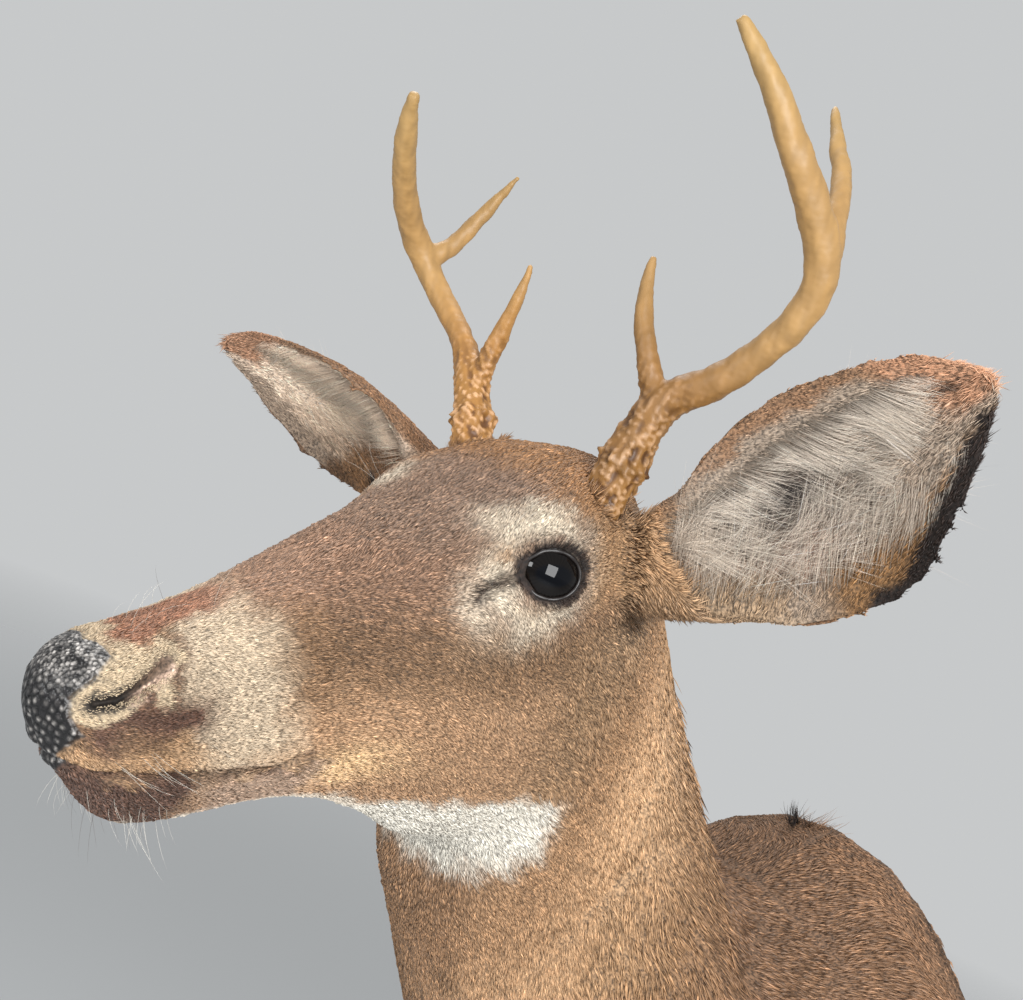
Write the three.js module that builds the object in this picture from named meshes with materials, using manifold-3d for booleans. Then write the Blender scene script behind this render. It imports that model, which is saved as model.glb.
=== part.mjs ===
// White-tailed buck shoulder mount: the head, neck and shoulders of a young six-point deer on a
// plywood backboard. Millimetres. The board's rear face lies on the wall at y = 0, the deer looks
// out along -Y, +X is its left and +Z is up. The origin is the middle of the board's rear face.
import * as THREE from "three";
import { mergeVertices } from "three/addons/utils/BufferGeometryUtils.js";
import Module from "manifold-3d";

const wasm = await Module();
wasm.setup();

const RAD = Math.PI / 180;
const GAP = 0.35; // air left between two pieces that meet

// ---------------------------------------------------------------- the pose
const HEAD_TURN = 28 * RAD; // the head looks to the deer's left
const HEAD_PITCH = 18 * RAD; // the line of the mouth drops towards the nose
const NOSE_REACH = 545; // nose tip to the wall, before the turn
const NOSE_HEIGHT = 165;
const TURN_PIVOT = 215; // the turn's upright axis, this far from the wall

const { lerp: mix, smoothstep: ease } = THREE.MathUtils;
const bell = (distance) => Math.exp(-distance * distance);

// Head coordinates: x ahead of the nose tip (so negative), y to the left, z up from the nose tip,
// square to the line of the mouth. Body coordinates: reach from the wall, left, height.
function sagittal(x, z) {
  const c = Math.cos(HEAD_PITCH);
  const s = Math.sin(HEAD_PITCH);
  return [NOSE_REACH + x * c + z * s, NOSE_HEIGHT - x * s + z * c];
}

// A body point after its share of the head's turn.
function turned(reach, left, height, share) {
  const angle = HEAD_TURN * share;
  const r = reach - TURN_PIVOT;
  const x = r * Math.sin(angle) + left * Math.cos(angle);
  const y = -(TURN_PIVOT + r * Math.cos(angle) - left * Math.sin(angle));
  return new THREE.Vector3(x, y, height);
}

function headPoint(x, y, z) {
  const [reach, height] = sagittal(x, z);
  return turned(reach, y, height, 1);
}

// A direction in head coordinates, as the turned head holds it.
const headWay = (x, y, z) => headPoint(x, y, z).sub(headPoint(0, 0, 0)).normalize();

// ---------------------------------------------------------------- making closed surfaces
// Lays a sphere's grid out again: place(around, along) gives each point, around 0 to 1 in a ring
// and along 0 to 1 from pole to pole, where around no longer counts.
function skin(columns, rows, place) {
  const grid = new THREE.SphereGeometry(1, columns, rows);
  const { position, uv } = grid.attributes;
  for (let i = 0; i < position.count; i++) {
    const along = 1 - uv.getY(i);
    const around = along < 1e-6 || along > 1 - 1e-6 ? 0 : uv.getX(i) % 1;
    position.setXYZ(i, ...place(around, along));
  }
  return grid;
}

// A geometry as a manifold-3d solid, its faces turned out if the grid was laid inside out.
function solid(geometry) {
  const bare = geometry.index ? geometry.toNonIndexed() : geometry.clone();
  bare.deleteAttribute("normal");
  bare.deleteAttribute("uv");
  const merged = mergeVertices(bare, 1e-3);
  const vertProperties = new Float32Array(merged.attributes.position.array);
  const triVerts = new Uint32Array(merged.index.array);
  const make = () => new wasm.Manifold(new wasm.Mesh({ numProp: 3, vertProperties, triVerts }));
  const made = make();
  if (made.volume() > 0) return made;
  for (let i = 0; i < triVerts.length; i += 3) {
    [triVerts[i + 1], triVerts[i + 2]] = [triVerts[i + 2], triVerts[i + 1]];
  }
  return make();
}

// A smooth curve through the rows of a table, read at t from 0 to 1.
function alongTable(table, t) {
  const last = table.length - 1;
  const at = Math.min(t * last, last - 1e-9);
  const i = Math.floor(at);
  const u = at - i;
  const pick = (k) => table[Math.min(Math.max(k, 0), last)];
  return table[i].map((_, column) => {
    const [a, b, c, d] = [pick(i - 1), pick(i), pick(i + 1), pick(i + 2)].map((row) => row[column]);
    return b + 0.5 * u * (c - a + u * (2 * a - 5 * b + 4 * c - d + u * (3 * (b - c) + d - a)));
  });
}

// Everything beyond a plane, on the side that its normal points to.
const REACH_ALL = 1200;
function beyond(point, normal) {
  const half = new THREE.BoxGeometry(REACH_ALL, REACH_ALL, REACH_ALL).translate(0, 0, REACH_ALL / 2);
  const turn = new THREE.Quaternion().setFromUnitVectors(new THREE.Vector3(0, 0, 1), normal);
  return solid(half.applyQuaternion(turn).translate(...point));
}

// ---------------------------------------------------------------- the model and its nodes
const root = new THREE.Group();

const COLOURS = {
  coat: "#8a6a4c",
  leather: "#2b2724",
  glass: "#0b0a0a",
  antler: "#b98d4e",
  plywood: "#c9a878",
  steel: "#b9bcc0",
};

function add(name, manifold, colour, roughness, metalness = 0) {
  const { numProp, vertProperties, triVerts } = manifold.getMesh();
  const geometry = new THREE.BufferGeometry();
  geometry.setAttribute("position", new THREE.BufferAttribute(new Float32Array(vertProperties), numProp));
  geometry.setIndex(new THREE.BufferAttribute(new Uint32Array(triVerts), 1));
  geometry.computeVertexNormals();
  const material = new THREE.MeshStandardMaterial({ color: colour, roughness, metalness });
  const mesh = new THREE.Mesh(geometry, material);
  mesh.name = name;
  root.add(mesh);
}

// ---------------------------------------------------------------- head, neck and shoulders
// Sections from the nose to the wall. Each runs from a dorsal point to a ventral point, with its
// half width, how far down the widest place is (0 to 1), and the squareness of its upper and
// lower halves (2 is an ellipse).
const inHead = (dx, dz, vx, vz) => [...sagittal(dx, dz), ...sagittal(vx, vz)];
const SECTIONS = [
  // back and belly line, half width, widest, square above, square below, share of the turn
  [...inHead(2, -5, 1, -12), 0, 0.5, 2, 2, 1],
  [...inHead(-2, 6, -9, -26), 16, 0.5, 2.3, 2.1, 1],
  [...inHead(-9, 15, -20, -42), 24.5, 0.48, 2.4, 2.0, 1],
  [...inHead(-22, 20, -31, -55), 29, 0.46, 2.4, 1.9, 1],
  [...inHead(-40, 25, -46, -60), 31, 0.46, 2.3, 1.9, 1],
  [...inHead(-66, 33, -68, -61), 31.5, 0.48, 2.3, 2.0, 1],
  [...inHead(-98, 47, -94, -61), 34, 0.5, 2.4, 2.0, 1],
  [...inHead(-132, 62, -118, -64), 41, 0.48, 2.4, 1.95, 1],
  [...inHead(-165, 73, -140, -70), 51, 0.42, 2.5, 1.85, 1],
  [...inHead(-195, 83, -155, -77), 60, 0.34, 2.7, 1.8, 1],
  [...inHead(-222, 93, -166, -82), 64, 0.34, 2.9, 1.85, 1],
  [...inHead(-250, 101, -178, -89), 65, 0.38, 2.8, 1.95, 1],
  [...inHead(-280, 103, -191, -98), 65, 0.42, 2.4, 2.05, 1],
  [...inHead(-308, 93, -214, -107), 66, 0.46, 2.2, 2.2, 0.97],
  [216, 313, 297, 101, 72, 0.5, 2.1, 2.2, 0.88],
  [182, 279, 265, 61, 83, 0.52, 2.0, 2.2, 0.7],
  [150, 241, 236, 22, 102, 0.54, 1.95, 2.2, 0.45],
  [127, 200, 206, -21, 124, 0.54, 2.15, 2.2, 0.2],
  [106, 172, 173, -71, 144, 0.56, 2.0, 2.15, 0.06],
  [72, 168, 138, -131, 170, 0.55, 1.95, 2.1, 0],
  [36, 183, 84, -202, 188, 0.54, 2.1, 2.1, 0],
  [0, 208, 0, -252, 193, 0.52, 2.2, 2.1, 0],
];

// Rises and hollows of the face and chest on top of the sections, on both sides alike. Each has its
// middle in head coordinates, its spread along x, y and z, and how far it moves the surface.
const SWELLS = [
  { at: [-206, 52, 76], spread: [30, 16, 15], move: [0, 3, 4] }, // brow over the eye
  { at: [-205, 64, 51], spread: [17, 20, 13], move: [0, -5, 0] }, // eye's hollow
  { at: [-185, 54, 28], spread: [30, 20, 12], move: [0, 3, 0] }, // cheekbone under the eye
  { at: [-172, 52, 50], spread: [16, 14, 12], move: [0, -3, 0] }, // hollow before the eye
  { at: [-205, 58, -25], spread: [38, 26, 34], move: [0, 3, 0] }, // cheek muscle
  { at: [-125, 36, 5], spread: [32, 20, 26], move: [0, -2.5, 0] }, // muzzle's side
  { at: [-32, 26, 6], spread: [16, 14, 13], move: [0, 2.5, 0] }, // nostril's wing
  { at: [-44, 27, -27], spread: [30, 12, 10], move: [0, 2.5, 0] }, // upper lip
  { at: [-254, 47, 92], spread: [20, 18, 16], move: [0, 3, 5] }, // stump that carries the antler
  { at: [-440, 130, -215], spread: [90, 80, 80], move: [6, 16, 0] }, // point of the shoulder
];

function swollen(reach, left, height) {
  const c = Math.cos(HEAD_PITCH);
  const s = Math.sin(HEAD_PITCH);
  const [r, h] = [reach - NOSE_REACH, height - NOSE_HEIGHT];
  const side = Math.sign(left);
  const place = [r * c - h * s, Math.abs(left), r * s + h * c];
  const moved = [0, 0, 0];
  for (const { at, spread, move } of SWELLS) {
    const far = Math.hypot(...place.map((p, k) => (p - at[k]) / spread[k]));
    moved.forEach((_, k) => (moved[k] += move[k] * bell(far)));
  }
  const outward = side * moved[1] * ease(Math.abs(left), 0, 10);
  return [reach + moved[0] * c + moved[2] * s, left + outward, height - moved[0] * s + moved[2] * c];
}

function bodyPoint(around, t) {
  const [dr, dh, vr, vh, half, widest, above, below, share] = alongTable(SECTIONS, t);
  const angle = 2 * Math.PI * around;
  const up = Math.cos(angle);
  const out = Math.sin(angle);
  const power = 2 / (up > 0 ? above : below);
  const left = half * Math.sign(out) * Math.abs(out) ** power;
  const rise = Math.sign(up) * Math.abs(up) ** power;
  const q = widest - rise * (rise > 0 ? widest : 1 - widest);
  return turned(...swollen(mix(dr, vr, q), left, mix(dh, vh, q)), share);
}

const BODY_COLUMNS = 28;
const BODY_ROWS = 60;
const CAP_ROWS = 2; // the last rows close the flat back
const whole = solid(
  skin(BODY_COLUMNS, BODY_ROWS + CAP_ROWS, (around, along) => {
    const row = along * (BODY_ROWS + CAP_ROWS);
    if (row <= BODY_ROWS + 1e-6) return bodyPoint(around, Math.min(row / BODY_ROWS, 1));
    return bodyPoint(around, 1).multiplyScalar(1 - (row - BODY_ROWS) / CAP_ROWS);
  }),
);

// ---------------------------------------------------------------- antlers
// Head coordinates. A beam runs from its root in the skull, through the burr, past the brow tine and
// the upper tine, to its tip. The right antler sits a little lower and closer than the left.
const ANTLERS = {
  left: {
    beam: [[-250, 42, 74], [-255, 49, 96], [-261, 61, 133], [-267, 84, 148], [-270, 100, 163],
      [-269, 117, 182], [-266, 125, 202], [-256, 123, 222], [-234, 116, 249], [-221, 107, 272],
      [-209, 94, 293]],
    beamRadii: [12, 11.5, 9.6, 8, 7.2, 7.2, 7.6, 7.5, 6.4, 5.2, 2.8],
    brow: [[-261, 60, 131], [-257, 51, 152], [-258, 43, 172], [-261, 39, 189], [-264, 38, 201]],
    upper: [[-266, 124, 207], [-274, 121, 226], [-284, 115, 245], [-291, 105, 263], [-298, 96, 281]],
  },
  right: {
    beam: [[-250, -42, 76], [-255, -49, 98], [-260, -60, 119], [-266, -76, 139], [-269, -93, 154],
      [-269, -110, 169], [-264, -120, 185], [-251, -120, 200], [-231, -110, 223], [-217, -98, 245],
      [-209, -88, 260]],
    beamRadii: [12, 11, 9.4, 7, 6.4, 6.8, 7.6, 7.2, 6.4, 5.4, 3],
    brow: [[-260, -58, 119], [-263, -54, 138], [-264, -48, 155], [-264, -42, 172], [-263, -37, 188]],
    upper: [[-265, -119, 184], [-276, -114, 190], [-286, -109, 204], [-293, -101, 220], [-297, -88, 238]],
  },
};
const BROW_RADII = [7, 5.4, 4.4, 3.2, 1.5];
const UPPER_RADII = [7, 5.2, 4.6, 3.6, 1.5];
const FORKS = { brow: 2, upper: 6 }; // the beam points where a tine leaves
const LIMB_COLUMNS = 10;

// A tapering limb through its points, from one share of its length to another. Grown by extra, it
// is the tool that clears the limb's place in its neighbour.
function limb(points, radii, rows, { from = 0, to = 1, extra = 0 } = {}) {
  const curve = new THREE.CatmullRomCurve3(points.map((p) => headPoint(...p)), false, "centripetal");
  const side = new THREE.Vector3();
  const front = new THREE.Vector3();
  return solid(
    skin(LIMB_COLUMNS, rows, (around, along) => {
      const ring = THREE.MathUtils.clamp((along * rows - 1) / (rows - 2), 0, 1);
      const t = mix(from, to, ring);
      const capped = along < 0.5 / rows || along > 1 - 0.5 / rows;
      const [radius] = capped ? [0] : alongTable(radii.map((r) => [r + extra]), t);
      const centre = curve.getPoint(t);
      const way = curve.getTangent(t);
      side.crossVectors(way, headWay(1, 0, 0)).normalize();
      front.crossVectors(side, way);
      const angle = -2 * Math.PI * around;
      centre.addScaledVector(side, radius * Math.cos(angle));
      return centre.addScaledVector(front, radius * Math.sin(angle));
    }),
  );
}

const rootsOfAntlers = [];
for (const [side, { beam, beamRadii, brow, upper }] of Object.entries(ANTLERS)) {
  const stages = beam.length - 1;
  const browFork = (FORKS.brow + 0.4) / stages;
  const upperFork = (FORKS.upper + 0.4) / stages;
  const parting = 0.0006; // half of the gap, as a share of the beam
  const lengths = {
    base: { rows: 8, from: 0, to: browFork - parting },
    beam: { rows: 10, from: browFork + parting, to: upperFork - parting },
    beam_tip: { rows: 9, from: upperFork + parting, to: 1 },
  };
  const clearance = [];
  for (const [name, { rows, from, to }] of Object.entries(lengths)) {
    add(`antler_${side}_${name}`, limb(beam, beamRadii, rows, { from, to }), COLOURS.antler, 0.55);
    clearance.push(limb(beam, beamRadii, rows, { from, to, extra: GAP }));
  }
  for (const [name, points, radii] of [["brow", brow, BROW_RADII], ["upper", upper, UPPER_RADII]]) {
    let tine = limb(points, radii, 9);
    for (const tool of clearance) tine = tine.subtract(tool);
    add(`antler_${side}_${name}_tine`, tine, COLOURS.antler, 0.55);
  }
  rootsOfAntlers.push(clearance[0]);
}

// ---------------------------------------------------------------- ears
// Each ear is a leaf-shaped cup on its own three axes, in head coordinates: from root to tip, across
// from the outer rim to the inner rim, and out of the hollow.
const EARS = {
  left: { root: [-277, 74, 58], tip: [-282, 201, 164], opens: [0.974, 0.165, -0.153] },
  right: { root: [-278, -80, 48], tip: [-221, -224, 106], opens: [0.82, 0.105, -0.56] },
};
const EAR_LENGTH = 172;
const EAR_SECTIONS = [
  // share of the length, middle and half width across, depth behind, depth in front, inner rim's curl
  [-0.14, 0, 22, 18, 14, 0],
  [-0.02, -2, 32, 22, 17, 0],
  [0.1, -6, 36, 26, 14, 4],
  [0.22, -10, 42, 30, -6, 9],
  [0.35, -10, 49, 33, -22, 13],
  [0.5, -10, 52.5, 33, -26, 14],
  [0.62, -8, 48, 29, -22, 12],
  [0.74, -2, 38.5, 22, -15, 9],
  [0.85, 2, 29, 14, -8, 6],
  [0.94, 5, 18, 8, -2, 3],
  [0.985, 6, 6, 4, 2, 0],
];
const EAR_COLUMNS = 16;
const EAR_ROWS = 15;

function ear(side, { root: from, tip, opens }, extra = 0) {
  const start = new THREE.Vector3(...from);
  const axis = new THREE.Vector3(...tip).sub(start).normalize();
  const out = new THREE.Vector3(...opens).addScaledVector(axis, -axis.dot(new THREE.Vector3(...opens)));
  out.normalize();
  const across = new THREE.Vector3().crossVectors(out, axis).multiplyScalar(side === "left" ? 1 : -1);
  const shape = skin(EAR_COLUMNS, EAR_ROWS, (around, along) => {
    const ring = THREE.MathUtils.clamp((along * EAR_ROWS - 1) / (EAR_ROWS - 2), 0, 1);
    const [share, middle, half, behind, ahead, curl] = alongTable(EAR_SECTIONS, ring);
    const pole = along < 0.5 / EAR_ROWS || along > 1 - 0.5 / EAR_ROWS;
    const angle = 2 * Math.PI * around;
    const wide = pole ? 0 : Math.sin(angle);
    const deep = pole ? 0 : Math.cos(angle) * (Math.cos(angle) > 0 ? -behind - extra : -ahead - extra);
    const place = start.clone().addScaledVector(axis, share * EAR_LENGTH);
    place.addScaledVector(across, middle + (half + extra) * wide);
    place.addScaledVector(out, deep + curl * Math.max(0, wide) ** 2);
    return headPoint(...place);
  });
  return solid(shape);
}

const rootsOfEars = [];
for (const [side, pose] of Object.entries(EARS)) {
  add(`ear_${side}`, ear(side, pose), COLOURS.coat, 0.9);
  rootsOfEars.push(ear(side, pose, GAP));
}

// ---------------------------------------------------------------- eyes
const EYE_AT = [-210.5, 52, 51]; // middle of the glass eye, left side
const EYE_RADIUS = 17;
const eyeSockets = [];
for (const [side, sign] of [["left", 1], ["right", -1]]) {
  const middle = headPoint(EYE_AT[0], sign * EYE_AT[1], EYE_AT[2]);
  const ball = (radius) => solid(new THREE.SphereGeometry(radius, 14, 10).translate(...middle));
  add(`eye_${side}`, ball(EYE_RADIUS), COLOURS.glass, 0.05);
  eyeSockets.push(ball(EYE_RADIUS + GAP));
}

// ---------------------------------------------------------------- the body's cuts
const POLL = headPoint(-285, 0, -20); // where head and neck part, behind the ears
const POLL_WAY = headWay(0.903, 0, 0.43);
const WITHERS = new THREE.Vector3(0, -181, 94); // where neck and shoulders part
const WITHERS_WAY = new THREE.Vector3(0, -0.949, 0.316).normalize();
const MOUTH_Z = -33; // the line of the mouth
const MOUTH_CORNER_X = -99;
const PAD_WAY = [1, 0, 0.3]; // the nose pad leans back over the nostrils
const PAD_BACK = [-15, 0, 0];
const PAD_LOW_Z = -27;
const BACK_Y = -2; // the hide's edge stands off the wall

// Both sides of a cut: what lies beyond the plane, and what lies before it, with the gap between.
const sides = (point, way) => [
  beyond(point.clone().addScaledVector(way, GAP / 2), way),
  beyond(point.clone().addScaledVector(way, -GAP / 2), way.clone().negate()),
];
const [aheadOfPoll, behindPoll] = sides(POLL, POLL_WAY);
const [aheadOfWithers, behindWithers] = sides(WITHERS, WITHERS_WAY);
const [belowMouth, aboveMouth] = sides(headPoint(0, 0, MOUTH_Z), headWay(0, 0, -1));
const [aheadOfCorner, behindCorner] = sides(headPoint(MOUTH_CORNER_X, 0, 0), headWay(1, 0, 0));
const [aheadOfPad, behindPad] = sides(headPoint(...PAD_BACK), headWay(...PAD_WAY));
const [abovePadLow, belowPadLow] = sides(headPoint(0, 0, PAD_LOW_Z), headWay(0, 0, 1));

const front = whole.intersect(aheadOfPoll);
const upperFace = front.intersect(aboveMouth.add(behindCorner));
let head = upperFace.intersect(behindPad.add(belowPadLow));
for (const tool of [...rootsOfAntlers, ...rootsOfEars, ...eyeSockets]) head = head.subtract(tool);

add("nose_pad", upperFace.intersect(aheadOfPad).intersect(abovePadLow), COLOURS.leather, 0.5);
add("lower_jaw", front.intersect(belowMouth).intersect(aheadOfCorner), COLOURS.coat, 0.9);
add("head", head, COLOURS.coat, 0.9);
add("neck", whole.intersect(behindPoll).intersect(aheadOfWithers), COLOURS.coat, 0.9);

// ---------------------------------------------------------------- backboard
// A plywood oval let into the back of the form and screwed to it, with a toothed steel hanging strip
// in a shallow groove. Its rear face is the one that lies on the wall.
const BOARD_THICK = 19;
const BOARD_INSET = 28; // the hide's edge shows round the board
const BOARD_POINTS = 40;
const SCREW = { head: 4.5, shank: 2, deep: 5, low: 0.3 }; // radii, length and how far it is sunk
const SCREW_PLACES = [[-105, 85], [105, 85], [-105, -125], [105, -125]];
const STRIP = { long: 64, wide: 9, height: 140, low: 0.4, teeth: 9, tooth: 3 };
const GROOVE_DEEP = 2.2;

const [, backTop, , backLow, backHalf] = SECTIONS.at(-1);
function boardShape(inset) {
  const shape = new THREE.Shape();
  for (let i = 0; i < BOARD_POINTS; i++) {
    const angle = (2 * Math.PI * i) / BOARD_POINTS;
    const up = Math.sin(angle);
    const height = up > 0 ? backTop - inset : -backLow - inset;
    shape[i ? "lineTo" : "moveTo"]((backHalf - inset) * Math.cos(angle), height * up);
  }
  return shape;
}

// The strip's outline, with a row of teeth along its lower edge for the wall's nail.
function stripShape() {
  const { long, wide, height, teeth, tooth } = STRIP;
  const shape = new THREE.Shape();
  const low = height - wide / 2;
  shape.moveTo(-long / 2, low);
  for (let i = 0; i < teeth; i++) {
    const x = (i - teeth / 2) * tooth;
    shape.lineTo(x, low);
    shape.lineTo(x + tooth / 2, low + tooth / 2);
  }
  shape.lineTo((teeth / 2) * tooth, low);
  shape.lineTo(long / 2, low);
  shape.lineTo(long / 2, low + wide);
  shape.lineTo(-long / 2, low + wide);
  return shape;
}

// An upright outline made thick from y = near to y = far.
function plate(shape, near, far) {
  const geometry = new THREE.ExtrudeGeometry(shape, { depth: far - near, bevelEnabled: false });
  return solid(geometry.rotateX(Math.PI / 2).translate(0, far, 0));
}

function screw([x, z], extra, top) {
  const wide = SCREW.head + extra;
  const thin = SCREW.shank + extra;
  const taper = SCREW.head - SCREW.shank;
  const profile = [[0, -SCREW.deep - extra], [thin, -SCREW.deep - extra], [thin, top - taper], [wide, top], [0, top]];
  return solid(new THREE.LatheGeometry(profile.map((p) => new THREE.Vector2(...p)), 12).translate(x, 0, z));
}

let board = plate(boardShape(BOARD_INSET), -BOARD_THICK, 0);
const groove = new THREE.BoxGeometry(STRIP.long + 2 * GAP, 2 * GROOVE_DEEP, STRIP.wide + 2 * GAP);
board = board.subtract(solid(groove.translate(0, 0, STRIP.height)));
SCREW_PLACES.forEach((place, i) => {
  board = board.subtract(screw(place, GAP, 0.01));
  add(`screw_${i + 1}`, screw(place, 0, -SCREW.low), COLOURS.steel, 0.35, 1);
});
add("hanger_strip", plate(stripShape(), -GROOVE_DEEP + GAP, -STRIP.low), COLOURS.steel, 0.35, 1);
add("backboard", board, COLOURS.plywood, 0.7);

let trunk = whole.intersect(behindWithers);
trunk = trunk.intersect(beyond(new THREE.Vector3(0, BACK_Y, 0), new THREE.Vector3(0, -1, 0)));
trunk = trunk.subtract(plate(boardShape(BOARD_INSET - GAP), -BOARD_THICK - GAP, 1));
add("trunk", trunk, COLOURS.coat, 0.9);

export default root;
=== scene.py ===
import math

import bmesh
import bpy
import numpy as np
from mathutils import Matrix, Vector, kdtree


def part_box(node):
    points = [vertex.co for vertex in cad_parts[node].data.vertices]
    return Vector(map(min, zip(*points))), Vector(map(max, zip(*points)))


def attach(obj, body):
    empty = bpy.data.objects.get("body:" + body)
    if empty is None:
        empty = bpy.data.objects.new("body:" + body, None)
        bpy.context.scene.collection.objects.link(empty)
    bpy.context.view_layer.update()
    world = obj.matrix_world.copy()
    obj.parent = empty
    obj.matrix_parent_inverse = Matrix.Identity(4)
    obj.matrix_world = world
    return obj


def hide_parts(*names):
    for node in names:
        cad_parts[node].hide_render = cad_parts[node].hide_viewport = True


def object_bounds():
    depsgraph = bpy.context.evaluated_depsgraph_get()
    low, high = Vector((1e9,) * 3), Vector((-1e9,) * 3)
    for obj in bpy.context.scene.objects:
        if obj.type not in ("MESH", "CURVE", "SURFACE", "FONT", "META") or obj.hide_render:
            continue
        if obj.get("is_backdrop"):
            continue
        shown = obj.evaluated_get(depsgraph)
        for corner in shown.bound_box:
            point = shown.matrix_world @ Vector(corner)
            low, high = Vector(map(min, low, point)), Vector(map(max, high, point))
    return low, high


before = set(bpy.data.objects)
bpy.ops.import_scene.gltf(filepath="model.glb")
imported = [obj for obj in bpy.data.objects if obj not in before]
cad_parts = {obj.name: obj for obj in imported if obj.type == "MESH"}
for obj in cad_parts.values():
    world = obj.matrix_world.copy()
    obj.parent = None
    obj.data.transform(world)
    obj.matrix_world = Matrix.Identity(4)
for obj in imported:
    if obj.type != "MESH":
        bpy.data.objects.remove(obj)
cad_box = [list(corner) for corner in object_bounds()]

# ---------------------------------------------------------------- camera
# It stands to the deer's left and a little above its nose, tipped to one side.
CAMERA_AT = (0.586665, -0.542997, 0.254162)
CAMERA_RIGHT = Vector((0.385039, 0.840734, 0.380672))
CAMERA_AHEAD = Vector((-0.9204, 0.38015, 0.091379))
CAMERA_LENS = 40.4  # millimetres, on a sensor 36 mm wide

camera = bpy.data.objects.new("camera", bpy.data.cameras.new("camera"))
camera.data.lens = CAMERA_LENS
camera.data.clip_start = 0.01
turned = Matrix((CAMERA_RIGHT, CAMERA_RIGHT.cross(CAMERA_AHEAD), -CAMERA_AHEAD)).transposed()
camera.matrix_world = Matrix.Translation(CAMERA_AT) @ turned.to_4x4()
bpy.context.scene.collection.objects.link(camera)
bpy.context.scene.camera = camera
bpy.context.scene.view_settings.view_transform = "Standard"


# ---------------------------------------------------------------- floor and light
# A plain pale floor well below the mount, which fades into a world of its own tone, and soft lights: a
# key on the deer's left, a small weak one ahead of its nose and a broad one above.
def linear(colour):
    """A colour written as sRGB hex, as linear red, green and blue."""
    parts = [int(colour[i : i + 2], 16) / 255 for i in (1, 3, 5)]
    return tuple(p / 12.92 if p <= 0.04045 else ((p + 0.055) / 1.055) ** 2.4 for p in parts)


def add_node(material, kind, links=(), **settings):
    """Adds a node. Settings name its properties or input sockets, and links join (output, input)."""
    made = material.node_tree.nodes.new(kind)
    for key, value in settings.items():
        if hasattr(made, key):
            setattr(made, key, value)
        else:
            made.inputs[key.replace("_", " ")].default_value = value
    for source, target in links:
        material.node_tree.links.new(source, made.inputs[target])
    return made


def new_material(name, **values):
    """A principled material, with values for its shader's own sockets."""
    material = bpy.data.materials.new(name)
    material.use_nodes = True
    shader = material.node_tree.nodes["Principled BSDF"]
    for key, value in values.items():
        shader.inputs[key.replace("_", " ").replace("ior", "IOR")].default_value = value
    return material, shader


def join_sockets(material, source, target):
    material.node_tree.links.new(source, target)


def new_object(name, mesh, material=None):
    made = bpy.data.objects.new(name, mesh)
    bpy.context.scene.collection.objects.link(made)
    if material:
        mesh.materials.append(material)
    return made


FLOOR_DROP = 0.62  # floor below the mount's middle
FLOOR_RADIUS = 9.0
FLOOR_FADE = (1.2, FLOOR_RADIUS * 0.8)  # where the floor starts and ends fading

bed = bmesh.new()
bmesh.ops.create_circle(bed, cap_ends=True, segments=96, radius=FLOOR_RADIUS)
bmesh.ops.translate(bed, verts=bed.verts, vec=(0, 0, -FLOOR_DROP))
floor_mesh = bpy.data.meshes.new("floor")
bed.to_mesh(floor_mesh)
bed.free()
painted, painted_shader = new_material("painted_floor", Base_Color=(*linear("#b4b6b7"), 1), Roughness=0.9)
place = add_node(painted, "ShaderNodeTexCoord")
far = add_node(painted, "ShaderNodeVectorMath", [(place.outputs["Object"], 0)], operation="LENGTH")
fade = add_node(painted, "ShaderNodeMapRange", [(far.outputs["Value"], 0)])
fade.inputs["From Min"].default_value, fade.inputs["From Max"].default_value = FLOOR_FADE
clear = add_node(painted, "ShaderNodeBsdfTransparent")
faded = add_node(
    painted,
    "ShaderNodeMixShader",
    [(fade.outputs[0], 0), (painted_shader.outputs[0], 1), (clear.outputs[0], 2)],
)
join_sockets(painted, faded.outputs[0], painted.node_tree.nodes["Material Output"].inputs[0])
new_object("floor", floor_mesh, painted)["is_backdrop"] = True

world = bpy.data.worlds.new("studio")
bpy.context.scene.world = world
world.use_nodes = True
sky = world.node_tree.nodes["Background"]
sky.inputs["Color"].default_value = (*linear("#dcdedf"), 1)
sky.inputs["Strength"].default_value = 0.8

LIGHTS = {
    # place, aimed at, width, power in watts
    "key": ((1.5, -0.5, 0.3), (0.1, -0.3, 0.1), 0.8, 31),
    "front": ((0.5, -1.9, 0.2), (0.12, -0.4, 0.15), 0.35, 7),
    "top": ((-0.5, -0.6, 1.7), (0.05, -0.3, 0.2), 1.0, 18),
}
for name, (at, aim, width, power) in LIGHTS.items():
    lamp = bpy.data.lights.new(name, "AREA")
    lamp.size = width
    lamp.energy = power
    lamp_object = bpy.data.objects.new(name, lamp)
    lamp_object.location = at
    lamp_object.rotation_euler = (Vector(aim) - Vector(at)).to_track_quat("-Z", "Y").to_euler()
    bpy.context.scene.collection.objects.link(lamp_object)

# ---------------------------------------------------------------- the hide
# Tanned deer skin glued over a foam form: one closed skin from the nose to the back edge, with the
# ears. The flesh solids are fused and smoothed, then drawn in by the depth of the coat.
MM = 0.001
HEAD_TURN = math.radians(28)
HEAD_PITCH = math.radians(18)
NOSE_REACH = 0.545
NOSE_HEIGHT = 0.165
TURN_PIVOT = 0.215
SIDES = {"left": 1, "right": -1}  # the deer's own, and which way head coordinates run there
FLESH = ["head", "nose_pad", "lower_jaw", "neck", "trunk", "ear_left", "ear_right"]
EYES = ["eye_left", "eye_right"]
GRAIN = 2.5 * MM  # the fused skin's mesh width

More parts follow.
